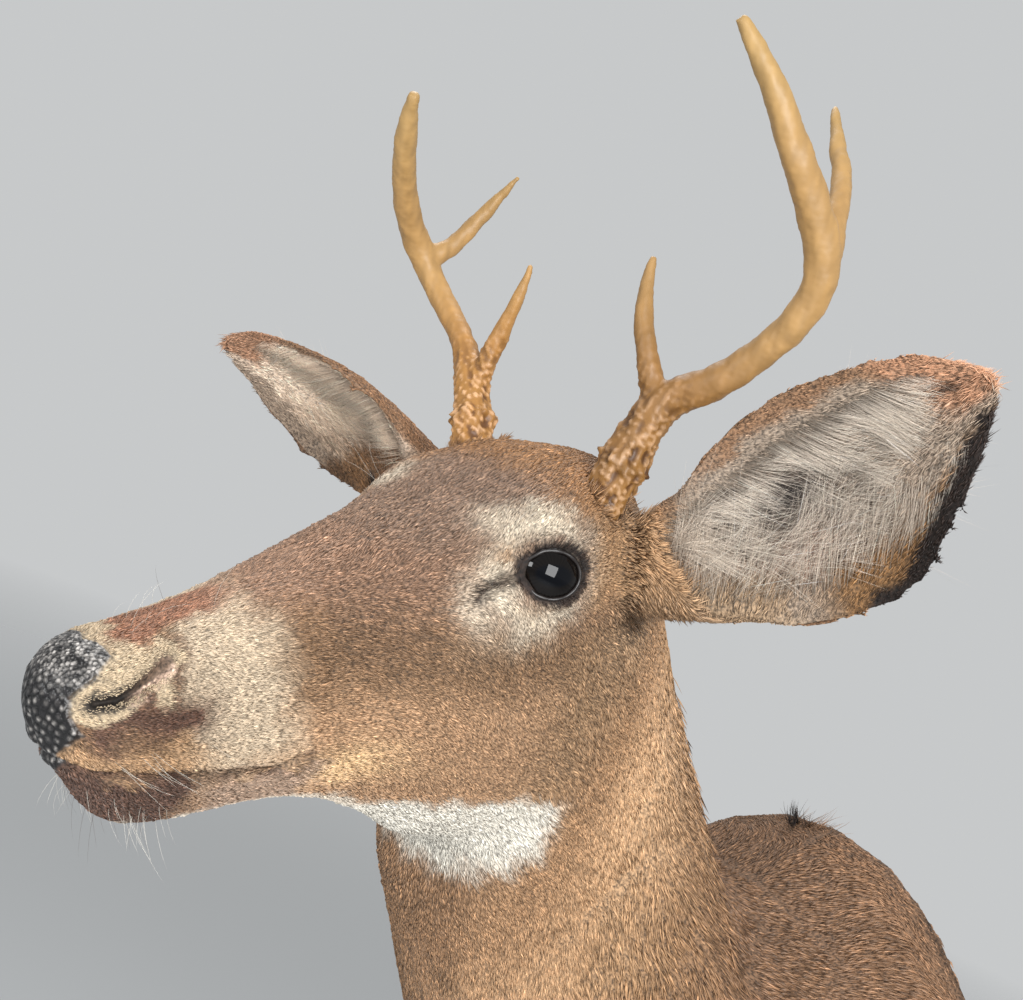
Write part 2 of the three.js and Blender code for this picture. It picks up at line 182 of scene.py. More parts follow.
# Head coordinates, in millimetres: x ahead of the nose tip, y to the left, z up from the nose tip.
sin_turn, cos_turn = math.sin(HEAD_TURN), math.cos(HEAD_TURN)
sin_pitch, cos_pitch = math.sin(HEAD_PITCH), math.cos(HEAD_PITCH)
nose_arm = NOSE_REACH - TURN_PIVOT
NOSE_TIP = np.array((nose_arm * sin_turn, -TURN_PIVOT - nose_arm * cos_turn, NOSE_HEIGHT))
HEAD_AXES = np.array(
    (
        (cos_pitch * sin_turn, -cos_pitch * cos_turn, -sin_pitch),
        (cos_turn, sin_turn, 0),
        (sin_pitch * sin_turn, -sin_pitch * cos_turn, cos_pitch),
    )
)


def to_head(places):
    return (np.asarray(places) - NOSE_TIP) @ HEAD_AXES.T / MM


def from_head(places):
    return np.asarray(places) * MM @ HEAD_AXES + NOSE_TIP


def mirrored(places):
    return np.stack((places[:, 0], np.abs(places[:, 1]), places[:, 2]), -1)


def turned_over(places):
    """Factors that mirror back what was worked out for mirrored places."""
    return np.where(places[:, 1:2] < 0, (1, -1, 1), (1, 1, 1))


def ease(value, low, high):
    t = np.clip((value - low) / (high - low), 0, 1)
    return t * t * (3 - 2 * t)


def spot(places, middle, spread):
    """1 at the middle of an oval cloud, fading to 0 over its spread."""
    return np.exp(-(((places - np.array(middle)) / np.array(spread)) ** 2).sum(-1))


def unit(vectors):
    return vectors / np.maximum(np.linalg.norm(vectors, axis=-1, keepdims=True), 1e-12)


luck = np.random.default_rng(11)
WHOLE_TURN = 6.3  # about 360 degrees, in radians
WAVES = [(unit(luck.normal(size=3)) * luck.uniform(0.7, 1.7), luck.uniform(0, WHOLE_TURN)) for _ in range(9)]


def ripple(places, width):
    """Smooth noise from about -1 to 1, with waves of about that width."""
    total = sum(np.sin(places @ (way * WHOLE_TURN / width) + start) for way, start in WAVES)
    return total / 3


def edges_of(mesh):
    pairs = np.empty(len(mesh.edges) * 2, np.int32)
    mesh.edges.foreach_get("vertices", pairs)
    return pairs.reshape(-1, 2)


def places_of(mesh):
    flat = np.empty(len(mesh.vertices) * 3)
    mesh.vertices.foreach_get("co", flat)
    return flat.reshape(-1, 3)


def normals_of(mesh):
    flat = np.empty(len(mesh.vertices) * 3, np.float32)
    mesh.vertex_normals.foreach_get("vector", flat)
    return flat.reshape(-1, 3).astype(float)


def set_places(mesh, places):
    mesh.vertices.foreach_set("co", np.ascontiguousarray(places).ravel())
    mesh.update()


def shade_smooth(mesh):
    mesh.polygons.foreach_set("use_smooth", np.ones(len(mesh.polygons), bool))


def relaxed(places, pairs, pull, rounds):
    """Each point drawn towards the middle of its neighbours, by its own pull."""
    a, b = pairs.T
    count = np.bincount(pairs.ravel(), minlength=len(places))
    pull = (pull * np.ones(len(places)))[:, None]
    for _ in range(rounds):
        middle = np.empty_like(places)
        for k in range(3):
            total = np.bincount(a, places[b, k], len(places))
            total += np.bincount(b, places[a, k], len(places))
            middle[:, k] = total / count
        places = places + pull * (middle - places)
    return places


def fused(names, grain):
    """The named solids as one closed mesh of even quads, its loose inner crumbs dropped."""
    work = bmesh.new()
    for name in names:
        work.from_mesh(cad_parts[name].data)
    bmesh.ops.remove_doubles(work, verts=work.verts, dist=0.01 * MM)
    mesh = bpy.data.meshes.new("fused")
    work.to_mesh(mesh)
    work.free()
    block = new_object("fused", mesh)
    modifier = block.modifiers.new("fuse", "REMESH")
    modifier.mode = "VOXEL"
    modifier.voxel_size = grain
    made = applied(block)
    work = bmesh.new()
    work.from_mesh(made)
    left = set(work.verts)
    parts = []
    while left:
        seed = left.pop()
        part, front = [seed], [seed]
        while front:
            for edge in front.pop().link_edges:
                for vert in edge.verts:
                    if vert in left:
                        left.remove(vert)
                        part.append(vert)
                        front.append(vert)
        parts.append(part)
    parts.sort(key=len)
    bmesh.ops.delete(work, geom=[v for part in parts[:-1] for v in part], context="VERTS")
    work.to_mesh(made)
    work.free()
    return made


def applied(piece):
    """The piece's mesh with its modifiers applied. The piece itself goes."""
    graph = bpy.context.evaluated_depsgraph_get()
    mesh = bpy.data.meshes.new_from_object(piece.evaluated_get(graph))
    old = piece.data
    bpy.data.objects.remove(piece)
    bpy.data.meshes.remove(old)
    return mesh


# The ears in head coordinates: root, tip and the way the hollow opens. At each station, a share of the
# length, an ear has its half width, and its middle lies that far towards the upper rim.
EARS = {
    "left": ((-277, 74, 58), (-282, 201, 164), (0.974, 0.165, -0.153)),
    "right": ((-278, -80, 48), (-221, -224, 106), (0.82, 0.105, -0.56)),
}
EAR_LENGTH = 172
EAR_SIDE = 40  # no part of an ear is nearer the face's middle
EAR_STATIONS = (-0.02, 0.1, 0.22, 0.35, 0.5, 0.62, 0.74, 0.85, 0.94, 1.0)
EAR_MIDDLES = (-2, -6, -10, -10, -10, -8, -2, 2, 5, 6)
EAR_HALVES = (32, 38, 46, 54, 57, 53, 43, 32, 20, 7)


def in_ear(side, places):
    """Shares of an ear's length and of its own half width there, mm out of its hollow, and its axes."""
    root, tip, opens = EARS[side]
    along = unit(np.subtract(tip, root))
    out = unit(np.array(opens) - along * np.dot(along, opens))
    across = np.cross(out, along) * SIDES[side]
    arm = places - np.array(root)
    share = arm @ along / EAR_LENGTH
    half = np.interp(share, EAR_STATIONS, EAR_HALVES)
    wide = (arm @ across - np.interp(share, EAR_STATIONS, EAR_MIDDLES)) / half
    return share, wide, arm @ out, (along, across, out)


def ear_share(places):
    """How much of an ear a place in head coordinates is, 0 on the skull and 1 from its neck out."""
    left = in_ear("left", places)
    right = in_ear("right", places)
    on_left = ease(left[0], -0.02, 0.1) * (places[:, 1] > EAR_SIDE)
    on_right = ease(right[0], -0.02, 0.1) * (places[:, 1] < -EAR_SIDE)
    return np.maximum(on_left, on_right)


def one_ear_share(side, places):
    """As ear_share, for one ear alone."""
    return ear_share(places) * (places[:, 1] * SIDES[side] > EAR_SIDE)


def ear_edge(places):
    """1 along the thin rims of the ears."""
    wide = np.where(places[:, 1] > 0, in_ear("left", places)[1], in_ear("right", places)[1])
    return ear_share(places) * ease(np.abs(wide), 0.68, 0.84)


POLL_AT = from_head((-285, 0, -20))
POLL_WAY = unit(np.array((0.903, 0, 0.43))) @ HEAD_AXES


def behind_poll(places):
    """Metres behind the plane where head and neck meet."""
    return (POLL_AT - places) @ POLL_WAY


board_low, board_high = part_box("backboard")


def in_recess(places, wider, deeper):
    """True in the board's recess, taken wider and deeper than the board by that much."""
    x, y, z = places.T
    high = np.where(z > 0, board_high.z, -board_low.z) + wider
    return (np.hypot(x / (board_high.x + wider), z / high) < 1) & (y > board_low.y - deeper)


def at_back(places):
    """1 on the flat back edge and in the board's recess, 0 elsewhere."""
    return np.maximum(in_recess(places, 3 * MM, 6 * MM), ease(places[:, 1], -6 * MM, -3 * MM))


def is_recess(places):
    """True on the walls and floor of the board's recess."""
    return in_recess(places, 2 * MM, 4 * MM)


def near_wall(places):
    """0 on most of the hide, up to 1 at its back edge."""
    return ease(places[:, 1], -70 * MM, -6 * MM)


hide_mesh = fused(FLESH + EYES, GRAIN)
spots = places_of(hide_mesh)
pairs = edges_of(hide_mesh)
head_spots = to_head(spots)
on_ear = ear_share(head_spots)
on_body = ease(behind_poll(spots), -10 * MM, 40 * MM) * (1 - on_ear)
spots = relaxed(spots, pairs, 0.5 * (1 - on_ear) * (1 - at_back(spots)), 16)
for _ in range(14):
    spots = relaxed(spots, pairs, 0.6 * on_ear, 1)
    spots = relaxed(spots, pairs, -0.62 * on_ear, 1)
spots = relaxed(spots, pairs, 0.6 * ear_edge(head_spots), 30)
# Easing leaves the ears' rims narrow and uneven. They are cut even, then moved out again by the gains.
EASED_EDGE = 0.785  # of the half width
UPPER_GAIN, LOWER_GAIN = 0.22, 0.15
p = to_head(spots)
for side, hand in SIDES.items():
    u, w, _, (_, across, _) = in_ear(side, p)
    even = np.clip(w, -EASED_EDGE, EASED_EDGE)
    even = even * (1 + np.where(w > 0, UPPER_GAIN, LOWER_GAIN) * ease(np.abs(even), 0.3, EASED_EDGE))
    share = on_ear * (p[:, 1] * hand > EAR_SIDE) * ease(u, 0.1, 0.25) * ease(0.97 - u, 0, 0.1)
    p = p + across * ((even - w) * np.interp(u, EAR_STATIONS, EAR_HALVES) * share)[:, None]
spots = relaxed(from_head(p), pairs, 0.4 * ear_edge(head_spots), 3)
spots = relaxed(spots, pairs, 0.9 * on_body * (1 - at_back(spots)) * (1 - 0.8 * near_wall(spots)), 70)
set_places(hide_mesh, spots)


def coat_depth(places):
    """How deep the coat stands over the hide, in mm, at places in the mount's frame."""
    p = to_head(places)
    flat = mirrored(p)
    depth = 1.3 + 1.6 * ease(-p[:, 0], 60, 150) + 1.0 * ease(-p[:, 0], 200, 280)
    depth *= 1 - 0.6 * spot(flat, (-206, 60, 52), (26, 22, 24))
    depth *= 1 - 0.9 * on_pad(flat)
    body = ease(behind_poll(places), -20 * MM, 80 * MM)
    depth = depth + (8.0 - depth) * body
    depth += 2.0 * body * spot(places, (0, -0.1, 0.19), (0.09, 0.08, 0.06))
    depth = depth - (1 + depth) * near_wall(places)
    depth += 4.0 * body * spot(places, (-0.04, -0.035, 0.186), (0.026, 0.02, 0.03))
    depth = depth + (0.5 - depth) * ear_share(p)
    return depth * (1 - at_back(places))


# The bare nose pad's half width at heights above the nose tip, and how far back it reaches, in mm.
PAD_HEIGHTS = (-32, -26, -20, -11, -5, 2, 8, 12, 17, 21)
PAD_HALVES = (4, 8, 12, 20, 17, 15.5, 18, 18.5, 17, 8)
PAD_BACK = ((0, 6, 15, 19), (-17.5, -20, -21, -12))


def on_pad(flat):
    """1 on the bare leather of the nose, in head coordinates with y mirrored to the left."""
    x, y, z = flat.T
    half = np.interp(z, PAD_HEIGHTS, PAD_HALVES)
    back = np.interp(y, *PAD_BACK)
    return ease(half - y, -0.8, 0.8) * ease(x - back, -0.8, 0.8) * ease(z, -33, -31)


# The neck and shoulders need fewer, larger faces than the face does.
block = new_object("hide", hide_mesh)
group = block.vertex_groups.new(name="plain")
plain = ease(behind_poll(spots), 0, 30 * MM) * (1 - on_ear)
for level in range(1, 5):
    chosen = np.flatnonzero((plain * 4 > level - 1) & (plain * 4 <= level))
    group.add([int(i) for i in chosen], level / 4, "REPLACE")
modifier = block.modifiers.new("thin", "DECIMATE")
modifier.vertex_group = "plain"
modifier.ratio = 0.3
hide_mesh = applied(block)

LONGEST = 12.0 * MM  # no edge of the skin outside the board's recess is left longer
for _ in range(4):
    work = bmesh.new()
    work.from_mesh(hide_mesh)
    outer = at_back(places_of(hide_mesh)) < 0.5
    work.verts.ensure_lookup_table()
    cut = [e for e in work.edges if e.calc_length() > LONGEST and any(outer[v.index] for v in e.verts)]
    bmesh.ops.subdivide_edges(work, edges=cut, cuts=1, use_grid_fill=True)
    bmesh.ops.triangulate(work, faces=[f for f in work.faces if len(f.verts) > 4])
    work.to_mesh(hide_mesh)
    work.free()


def refined(mesh, chooser):
    """The mesh with each edge cut in two where both its ends are chosen, then eased."""
    work = bmesh.new()
    work.from_mesh(mesh)
    chosen = chooser(to_head(places_of(mesh)))
    work.verts.ensure_lookup_table()
    cut = [e for e in work.edges if all(chosen[v.index] for v in e.verts)]
    bmesh.ops.subdivide_edges(work, edges=cut, cuts=1, use_grid_fill=True, smooth=0)
    work.to_mesh(mesh)
    work.free()
    places = places_of(mesh)
    near = chooser(to_head(places))
    set_places(mesh, relaxed(places, edges_of(mesh), 0.45 * near, 3))


EYE_AT = np.array((-210.5, 52, 51))
EYE_RADIUS = 17.0


def near_eye(places, reach):
    return np.linalg.norm(mirrored(places) - EYE_AT, axis=1) < reach


refined(hide_mesh, lambda p: (p[:, 0] > -52) | near_eye(p, 34))
refined(hide_mesh, lambda p: (p[:, 0] > -41) & (p[:, 2] > -36) | near_eye(p, 25))

hide_spots = places_of(hide_mesh)
hide_spots -= normals_of(hide_mesh) * (coat_depth(hide_spots) * MM)[:, None]
set_places(hide_mesh, hide_spots)


def snapped(*line):
    """A line's points moved to the hide's nearest vertices."""
    near = to_head(hide_spots)
    return np.array([near[np.argmin(((near - point) ** 2).sum(1))] for point in line])


# Lines on the left of the face in head coordinates, which the right mirrors.
NOSTRIL = snapped((-12, 22.5, 1.5), (-19.5, 26, 3), (-26.5, 27.4, 6.5), (-32, 27, 10), (-38.5, 24, 14.5))
MOUTH = snapped(
    (-4, 0, -27), (-10, 14, -26.5), (-23, 27, -26), (-42, 31, -28),
    (-70, 30, -34), (-93, 29, -35.5), (-104, 31, -31), (-113, 32, -29),
)  # fmt: skip
TEAR_DUCT = snapped((-190, 57, 50), (-181, 54, 47.5), (-174, 51.5, 44.7), (-169.5, 51, 42), (-167, 51, 37))


def near_line(places, line):
    """Distance in mm to a line of points, and the share of the line where it is nearest."""
    best = np.full(len(places), 1e9)
    share = np.zeros(len(places))
    for i, (a, b) in enumerate(zip(line[:-1], line[1:])):
        run = b - a
        t = np.clip((places - a) @ run / (run @ run), 0, 1)
        gap = np.linalg.norm(places - a - t[:, None] * run, axis=1)
        share = np.where(gap < best, (i + t) / (len(line) - 1), share)
        best = np.minimum(best, gap)
    return best, share


NOSTRIL_OUT = unit(np.array((0.25, 0.95, 0.15)))


def near_nostril(places):
    """As near_line for the nostril, seen from straight outside, so that its floor is near too."""
    gap, share = near_line(*(v - (v @ NOSTRIL_OUT)[:, None] * NOSTRIL_OUT for v in (places, NOSTRIL)))
    return np.maximum(gap, near_line(places, NOSTRIL)[0] - 9), share


# The eye's opening: which way it faces, and its half width and height where skin meets glass.
EYE_OUT = unit(np.array((0.6, 0.79, 0.08)))
EYE_AHEAD = unit(np.cross(EYE_OUT, (0, 0, 1)))
EYE_UP = np.cross(EYE_AHEAD, EYE_OUT)
OPENING = (12.6, 10.6)


def in_opening(places):
    """1 on the edge of the eye's opening and less inside it, at places with y mirrored to the left."""
    arm = places - EYE_AT
    ahead, up = arm @ EYE_AHEAD, arm @ EYE_UP
    wide = OPENING[0] + 1.6 * ease(ahead, 0, 8)
    tall = OPENING[1] * (1 - 0.25 * ease(ahead, 5, 14))
    return np.hypot(ahead / wide, up / tall) + 9 * (arm @ EYE_OUT < 0), arm


def folds(spots, normals):
    """The hide's places in head coordinates, with lids, nostrils, lips and the mouth's line worked in."""
    p = mirrored(spots)
    n = normals * turned_over(spots)
    push = np.zeros(len(p))
    gap, share = near_line(p, NOSTRIL)
    wide = np.interp(share, (0, 0.3, 0.7, 1), (1.4, 2.2, 3.6, 2.2))
    push -= np.interp(share, (0, 0.3, 0.7, 1), (3.0, 5.5, 7.5, 3.0)) * np.exp(-((gap / wide) ** 3))
    push += 1.8 * spot(p, (-26, 25, 13), (10, 8, 5)) + 0.9 * spot(p, (-27, 28, 1), (12, 6, 3))
    gap, share = near_line(p, MOUTH)
    push -= np.interp(share, (0, 0.85, 1), (3.4, 3.4, 1.0)) * np.exp(-((gap / 1.8) ** 2))
    push += 1.0 * np.exp(-(((gap - 5.5) / 2.8) ** 2)) * ease(1 - share, 0, 0.3)
    push -= 1.6 * np.exp(-((p[:, 1] / 1.5) ** 2)) * ease(p[:, 0], -14, -8) * ease(-p[:, 2], 6, 12)
    gap, share = near_line(p, TEAR_DUCT)
    push -= np.interp(share, (0, 0.5, 1), (2.0, 2.6, 0.5)) * np.exp(-((gap / 2.2) ** 2))
    push -= 0.9 * spot(p, (-160, 45, 30), (12, 8, 10))
    p = p + n * push[:, None]
    level, arm = in_opening(p)
    reach = np.interp(level, (0.9, 1.0, 1.14, 1.4), (13.5, 17.3, 18.9, 19.4))
    lids = EYE_AT + unit(arm) * reach[:, None]
    crease = 0.9 * np.exp(-(((level - 1.75) / 0.12) ** 2)) * ease(arm @ EYE_UP, 2, 9)
    p = lids + (p - lids) * ease(level, 1.25, 2.0)[:, None] - n * crease[:, None]
    return p * turned_over(spots)


normals = normals_of(hide_mesh)
spots = folds(to_head(hide_spots), normals @ HEAD_AXES.T)
set_places(hide_mesh, from_head(spots))

# The nose pad's pebbled leather: low cells about 3 mm across, with grooves between them.
PEBBLE = (4.2, 2.2)  # how far apart on the pad's front and on its top
spots = to_head(places_of(hide_mesh))
pad = on_pad(mirrored(spots))
cells = []
apart = np.interp(spots[:, 2], (2, 8), PEBBLE)
for i in luck.permutation(np.flatnonzero(pad > 0.5)):
    if all(np.abs(spots[i] - cell).sum() > apart[i] for cell in cells):
        cells.append(spots[i])
cells = np.array(cells)
tree = kdtree.KDTree(len(cells))
for i, cell in enumerate(cells):
    tree.insert(cell, i)
tree.balance()
groove = np.ones(len(spots))
speck = np.zeros(len(spots))
dot = np.zeros(len(spots))
cell_tone = luck.random(len(cells))
for i in np.flatnonzero(pad > 0.02):
    (_, which, first), (_, _, second) = tree.find_n(spots[i], 2)
    groove[i] = min(1.0, (second - first) / 0.8)
    speck[i] = cell_tone[which] ** 1.5
    dot[i] = max(0.0, 1 - first / 1.3) * cell_tone[which]
spots += (normals_of(hide_mesh) @ HEAD_AXES.T) * (pad * (0.45 * groove - 0.45))[:, None]
set_places(hide_mesh, from_head(spots))

# The coat's markings. Each hue is the middle tone of a patch of hair, and the skin under it is painted
# darker, as shade deep in the coat.
HUES = {
    "bridge": "#8f705a", "cheek": "#86694e", "cheek_low": "#b59170", "gold": "#f0cc9c", "dusk": "#6e5440",
    "forehead": "#866c59", "crown": "#946d49", "brow": "#9a7450", "ring": "#d6c8b3", "duct": "#2e211a",
    "behind_eye": "#a98663", "jaw_back": "#997b5d", "nape": "#a3805f", "neck": "#d3ac84",
    "throat": "#86664a", "chest": "#937657", "shoulder": "#93714f", "withers": "#84644a",
    "bib": "#e6e0d3", "bib_shade": "#aeaba2",
    "muzzle": "#c8b59c", "rufous": "#8e654e", "cream": "#c5b194", "patch": "#5e4437", "lip": "#b6936f",
    "lip_edge": "#5f483a", "jaw": "#594237", "jaw_mid": "#a38a76", "chin": "#d9cfbf", "raw": "#b7a07e",
    "ear_hair": "#e6dacb", "ear_pale": "#a29180", "ear_far_painted_light": "#f6dfc8", "ear_skin": "#c09c88",
    "ear_hollow": "#332c29", "ear_gold": "#8e6a44", "ear_back": "#906c4e", "ear_rim": "#231813",
    "ear_tip": "#b78a6b", "ear_low": "#a58b6f", "leather": "#0c0a0c", "slit": "#6a5748", "rim": "#cdb09c",
    "speck": "#a8a39e",
}  # fmt: skip
HUES = {name: np.array(linear(code)) for name, code in HUES.items()}
# The dark band that runs from the nose pad back under the nostril and up behind it.
DARK_BAND = np.array(
    ((-14, 24.5, -9), (-24, 28.5, -5), (-38, 31, -3), (-40.5, 29, 7), (-42, 25, 14), (-41, 22, 17))
)
SADDLE_BACK = (18, 30, 36, 44, 64, 90)  # the rufous saddle's half width at places behind the nose tip
SADDLE_HALF = (9, 18.5, 16, 11, 9, 9)
# How far out, in half widths, an ear's dark lower rim starts at shares of its length.
RIM_STATIONS = (0.35, 0.45, 0.56, 0.64, 0.75, 0.84, 0.95)
RIM_STARTS = (1.05, 0.84, 0.7, 0.6, 0.54, 0.5, 0.5)


def marking(places, normals):
    """The coat's colour at places in the mount's frame, as linear red, green and blue.

    x, y and z are wavering head coordinates with y mirrored, so that no patch has a straight edge.
    """
    p = to_head(places)
    true = mirrored(p)
    p = p + np.stack([ripple(p + shift, 26) for shift in (0, 90, 180)], -1) * 2.2
    p = p + np.stack([ripple(p + shift, 9) for shift in (30, 120, 210)], -1) * 1.1
    q = mirrored(p)
    x, y, z = q.T
    colour = np.tile(HUES["cheek"], (len(q), 1))

    def lay(name, amount):
        colour[:] += (HUES[name] - colour) * np.clip(amount, 0, 1)[:, None]

    def cloud(name, amount, middle, spread):
        lay(name, amount * spot(q, middle, spread))

    lay("bridge", ease(z, 18, 42))
    cloud("gold", 0.5, (-150, 34, -46), (30, 14, 8))
    cloud("dusk", 0.5, (-125, 40, 22), (32, 30, 18))
    lay("cheek_low", 0.9 * ease(-z, -10, 18) * ease(-x, 40, 90))
    lay("jaw_back", ease(-x, 205, 250) * ease(30 - z, -20, 30))
    cloud("gold", 0.8, (-124, 32, -38), (26, 30, 10))
    lay("forehead", ease(-x, 118, 150) * ease(z, 46, 62))
    lay("crown", ease(-x, 205, 236) * ease(z, 62, 82))
    lay("behind_eye", ease(-x, 222, 240) * ease(z, 25, 45) * ease(88 - z, 0, 16))
    cloud("brow", 0.9, (-212, 52, 84), (22, 12, 7))
    # the pale band round the muzzle, its rufous saddle and the cream about the nostrils
    band = ease(-x, 40, 50) * ease(93 - 0.3 * z + x, -8, 16)
    lay("muzzle", band * ease(42 - z, 0, 20) * ease(z, -40, -22))
    saddle = ease(np.interp(-x, SADDLE_BACK, SADDLE_HALF) - y, -3, 3)
    lay("rufous", ease(-x, 19, 26) * ease(82 + x, 0, 22) * saddle * ease(z, 10, 16))
    lay("lip", 0.8 * ease(-z, 13, 20) * ease(72 + x, 0, 30) * (y > 5))
    cloud("patch", 1.4, (-42, 31, -6), (13, 14, 8))
    gap, share = near_line(q, DARK_BAND)
    lay("patch", (1 - 0.35 * ease(share, 0.5, 0.8)) * np.exp(-((gap / 5.8) ** 2)))
    cloud("lip_edge", 0.5, (-19, 26, -15), (10, 8, 5))
    gap, share = near_nostril(true)
    above = z > np.interp(x, NOSTRIL[::-1, 0], NOSTRIL[::-1, 2])
    reach = np.where(above, 8, np.interp(share, (0, 0.3, 0.6, 1), (9, 6.2, 3.4, 2.6)))
    lay("cream", ease(reach - gap, 0, 1.5) * ease(z, -12, -8))
    lay("cream", ease(x, -43, -38) * ease(z - 0.2 * x, 6, 9) * ease(18 - z, -2, 2) * ease(y, 11, 14))
    lay("cream", 0.9 * ease(-x, 16, 18) * ease(26 + x, -2, 2) * (z > 12))
    # mouth, chin and throat
    gap, share = near_line(true, MOUTH)
    under = ease(np.interp(x, MOUTH[::-1, 0], MOUTH[::-1, 2]) - z, 0, 2.5)
    lay("jaw", under * ease(64 + x, 0, 16))
    lay("jaw_mid", under * ease(-x, 50, 70) * ease(122 + x, 0, 16))
    lay("chin", 0.85 * ease(-z, 52, 58) * ease(-x, 26, 40) * ease(200 + x, 0, 40) * ease(20 - y, 0, 8))
    lay("lip_edge", 1.2 * np.exp(-((gap / 2.6) ** 2)) * ease(share, 0.02, 0.1) * ease(1 - share, 0, 0.1))
    body = behind_poll(places) / MM
    lay("nape", ease(body, -30, 10))
    lay("neck", ease(body, 10, 70) * ease(places[:, 0], -0.05, 0.03))
    lay("throat", 0.8 * ease(-z, 92, 108) * ease(-places[:, 1] - 0.9 * places[:, 0], 0.19, 0.225))
    lay("chest", ease(-places[:, 2], 0.03, 0.12))
    lay("shoulder", ease(places[:, 1], -0.24, -0.15))
    # painted light: a pale pool on the left side of the upper neck, the side the key light falls on
    lay("neck", 0.9 * spot(places, (0.08, -0.2, 0.2), (0.06, 0.06, 0.055)) * ease(body, 0, 40))
    lay("withers", ease(places[:, 1], -0.2, -0.1) * ease(places[:, 2], 0.02, 0.1))
    bib = ease(-z, 62, 70) * ease(-x, 148, 162) * ease(252 + x, -6, 10)
    bib *= ease(z + 0.55 * (x + 160) + 142, -12, 8)
    lay("bib", bib * ease(64 - y, 0, 10))
    # painted shade: the white bib greyed on its underside beneath the jaw, where the head shades it
    lay("bib_shade", 0.6 * bib * spot(q, (-200, 8, -100), (34, 30, 26)))
    # round the eye
    _, arm = in_opening(q)
    ahead, up = arm @ EYE_AHEAD, arm @ EYE_UP
    pale = np.exp(-(((np.hypot((ahead - 2) / 27, (up - 1) / 22) - 0.92) / 0.27) ** 2)) * (x < -158)
    lay("ring", pale * (y > 30) * (0.3 + 0.7 * ease(ahead, -20, -6)))
    lay("ring", 0.7 * spot(q, (-168, 50, 36), (9, 12, 13)) + 0.7 * spot(q, (-192, 62, 27), (16, 12, 9)))
    cloud("ring", 0.7, (-187, 38, 72), (14, 12, 7))
    lay("brow", 0.95 * spot(q, (-182, 50, 58), (7, 8, 6)) + 0.4 * spot(q, (-196, 60, 36), (12, 9, 4)))
    cloud("ear_low", 0.8, (-278, 78, 26), (20, 24, 20))
    level, arm = in_opening(true)
    gap, share = near_line(true, TEAR_DUCT)
    lay("duct", 1.5 * np.exp(-((gap / 2.7) ** 2)) * ease(1.02 - share, 0, 0.12))
    lay("duct", ease(1.42 + 0.16 * ease(-(arm @ EYE_AHEAD), 2, 9) - level, 0, 0.26))
    # the ears: pale hair in the hollow, brown backs, a black-brown lower rim and a rusty tip; the right
    # ear's inside is painted near-white, as light shining through it
    for side in EARS:
        u, w, _, ways = in_ear(side, p)
        inner = ease(normals @ HEAD_AXES.T @ ways[2], -0.1, 0.3)
        ear = one_ear_share(side, p)
        # the right ear's patches are fainter, under the painted light of light shining through it
        near = float(side == "left")  # the left ear's patches are stronger
        zone = np.stack((u, w), -1)
        lay("ear_back", ear * (1 - inner))
        lay("ear_pale" if near else "ear_far_painted_light", ear * inner * ease(u, 0.02, 0.2))
        lay("ear_hollow", ear * inner * (0.15 + 0.85 * near) * spot(zone, (0.34, 0.24), (0.17, 0.3)))
        lay("ear_skin", near * ear * inner * 0.8 * spot(zone, (0.3, -0.3), (0.1, 0.2)))
        lay("ear_back", (1 - near) * ear * inner * ease(0.36 - u - 0.25 * w, -0.03, 0.05))
        lay("ear_gold", ear * inner * (0.4 + 0.6 * near) * ease(-w, 0.38, 0.58) * ease(u, 0.25, 0.4))
        lay("ear_low", near * ear * inner * ease(0.3 - u, 0, 0.12) * ease(-w, 0.2, 0.5))
        lay("ear_back", 0.9 * ear * ease(w, 0.74, 0.86) * ease(u, 0.1, 0.3))
        edge = ease(-w - np.interp(u, RIM_STATIONS, RIM_STARTS), -0.08, 0.04) * (u > RIM_STATIONS[0])
        lay("ear_rim", ear * (0.5 + 0.5 * near) * edge)
        lay("ear_tip", 0.95 * ear * ease(u + 0.1 * w, 0.8, 0.88) * ease(w + 0.25, -0.15, 0.15))
        lay("ear_rim", 0.9 * ear * inner * near * spot(zone, (0.87, 0.36), (0.035, 0.16)))
    lay("raw", np.maximum(ease(places[:, 1], -1.2 * MM, -0.9 * MM), is_recess(places)))
    return np.clip(colour, 0, 1)


# Bare skin shows in the nostril, dark in front as painted shade and paler behind, with a painted highlight
# along its lower rim, and on the nose pad, which is frosted on top and dotted with painted highlights in
# front.
UNDERCOAT_SHADE = 0.6  # painted shade: the skin's tone under hair, as a share of the hair's, for shade deep in the coat
spots = places_of(hide_mesh)
hue = marking(spots, normals_of(hide_mesh)) * UNDERCOAT_SHADE
q = mirrored(to_head(spots))
gap, share = near_nostril(q)
low_side = q[:, 2] < np.interp(q[:, 0], NOSTRIL[::-1, 0], NOSTRIL[::-1, 2])
# painted shade darkens the slit's front, and a painted highlight lies along its lower rim
lumen = HUES["slit"] * (0.08 + 0.7 * ease(share, 0.25, 0.9))[:, None]
lumen += (HUES["rim"] - lumen) * (low_side * ease(gap, 1.6, 2.8) * ease(share, 0.25, 0.5))[:, None]
hue += (lumen - hue) * np.exp(-((gap / 4.2) ** 6))[:, None]
# painted shade: the pad's leather is darker in the grooves between its pebbles
tone = HUES["leather"] * (0.3 + 0.9 * groove[:, None])
top = ease(q[:, 2], 3, 12)
# grey frost on the pad's top; in front, a painted highlight dotted on each pebble
frost_and_highlight = np.clip(speck * top + 0.25 * ripple(q, 2.2) * top + 0.75 * dot * (1 - top), 0, 1) * groove
tone = tone + (HUES["speck"] - tone) * frost_and_highlight[:, None]
hue += (tone - hue) * pad[:, None]


def paint(mesh, name, values):
    """A colour for each vertex, as an attribute of the mesh."""
    layer = mesh.color_attributes.new(name, "FLOAT_COLOR", "POINT")
    flat = np.ones((len(mesh.vertices), 4), np.float32)
    flat[:, : values.shape[1]] = values
    layer.data.foreach_set("color", flat.ravel())


paint(hide_mesh, "hue", hue)
paint(hide_mesh, "bare", np.repeat(pad[:, None], 3, 1))
shade_smooth(hide_mesh)

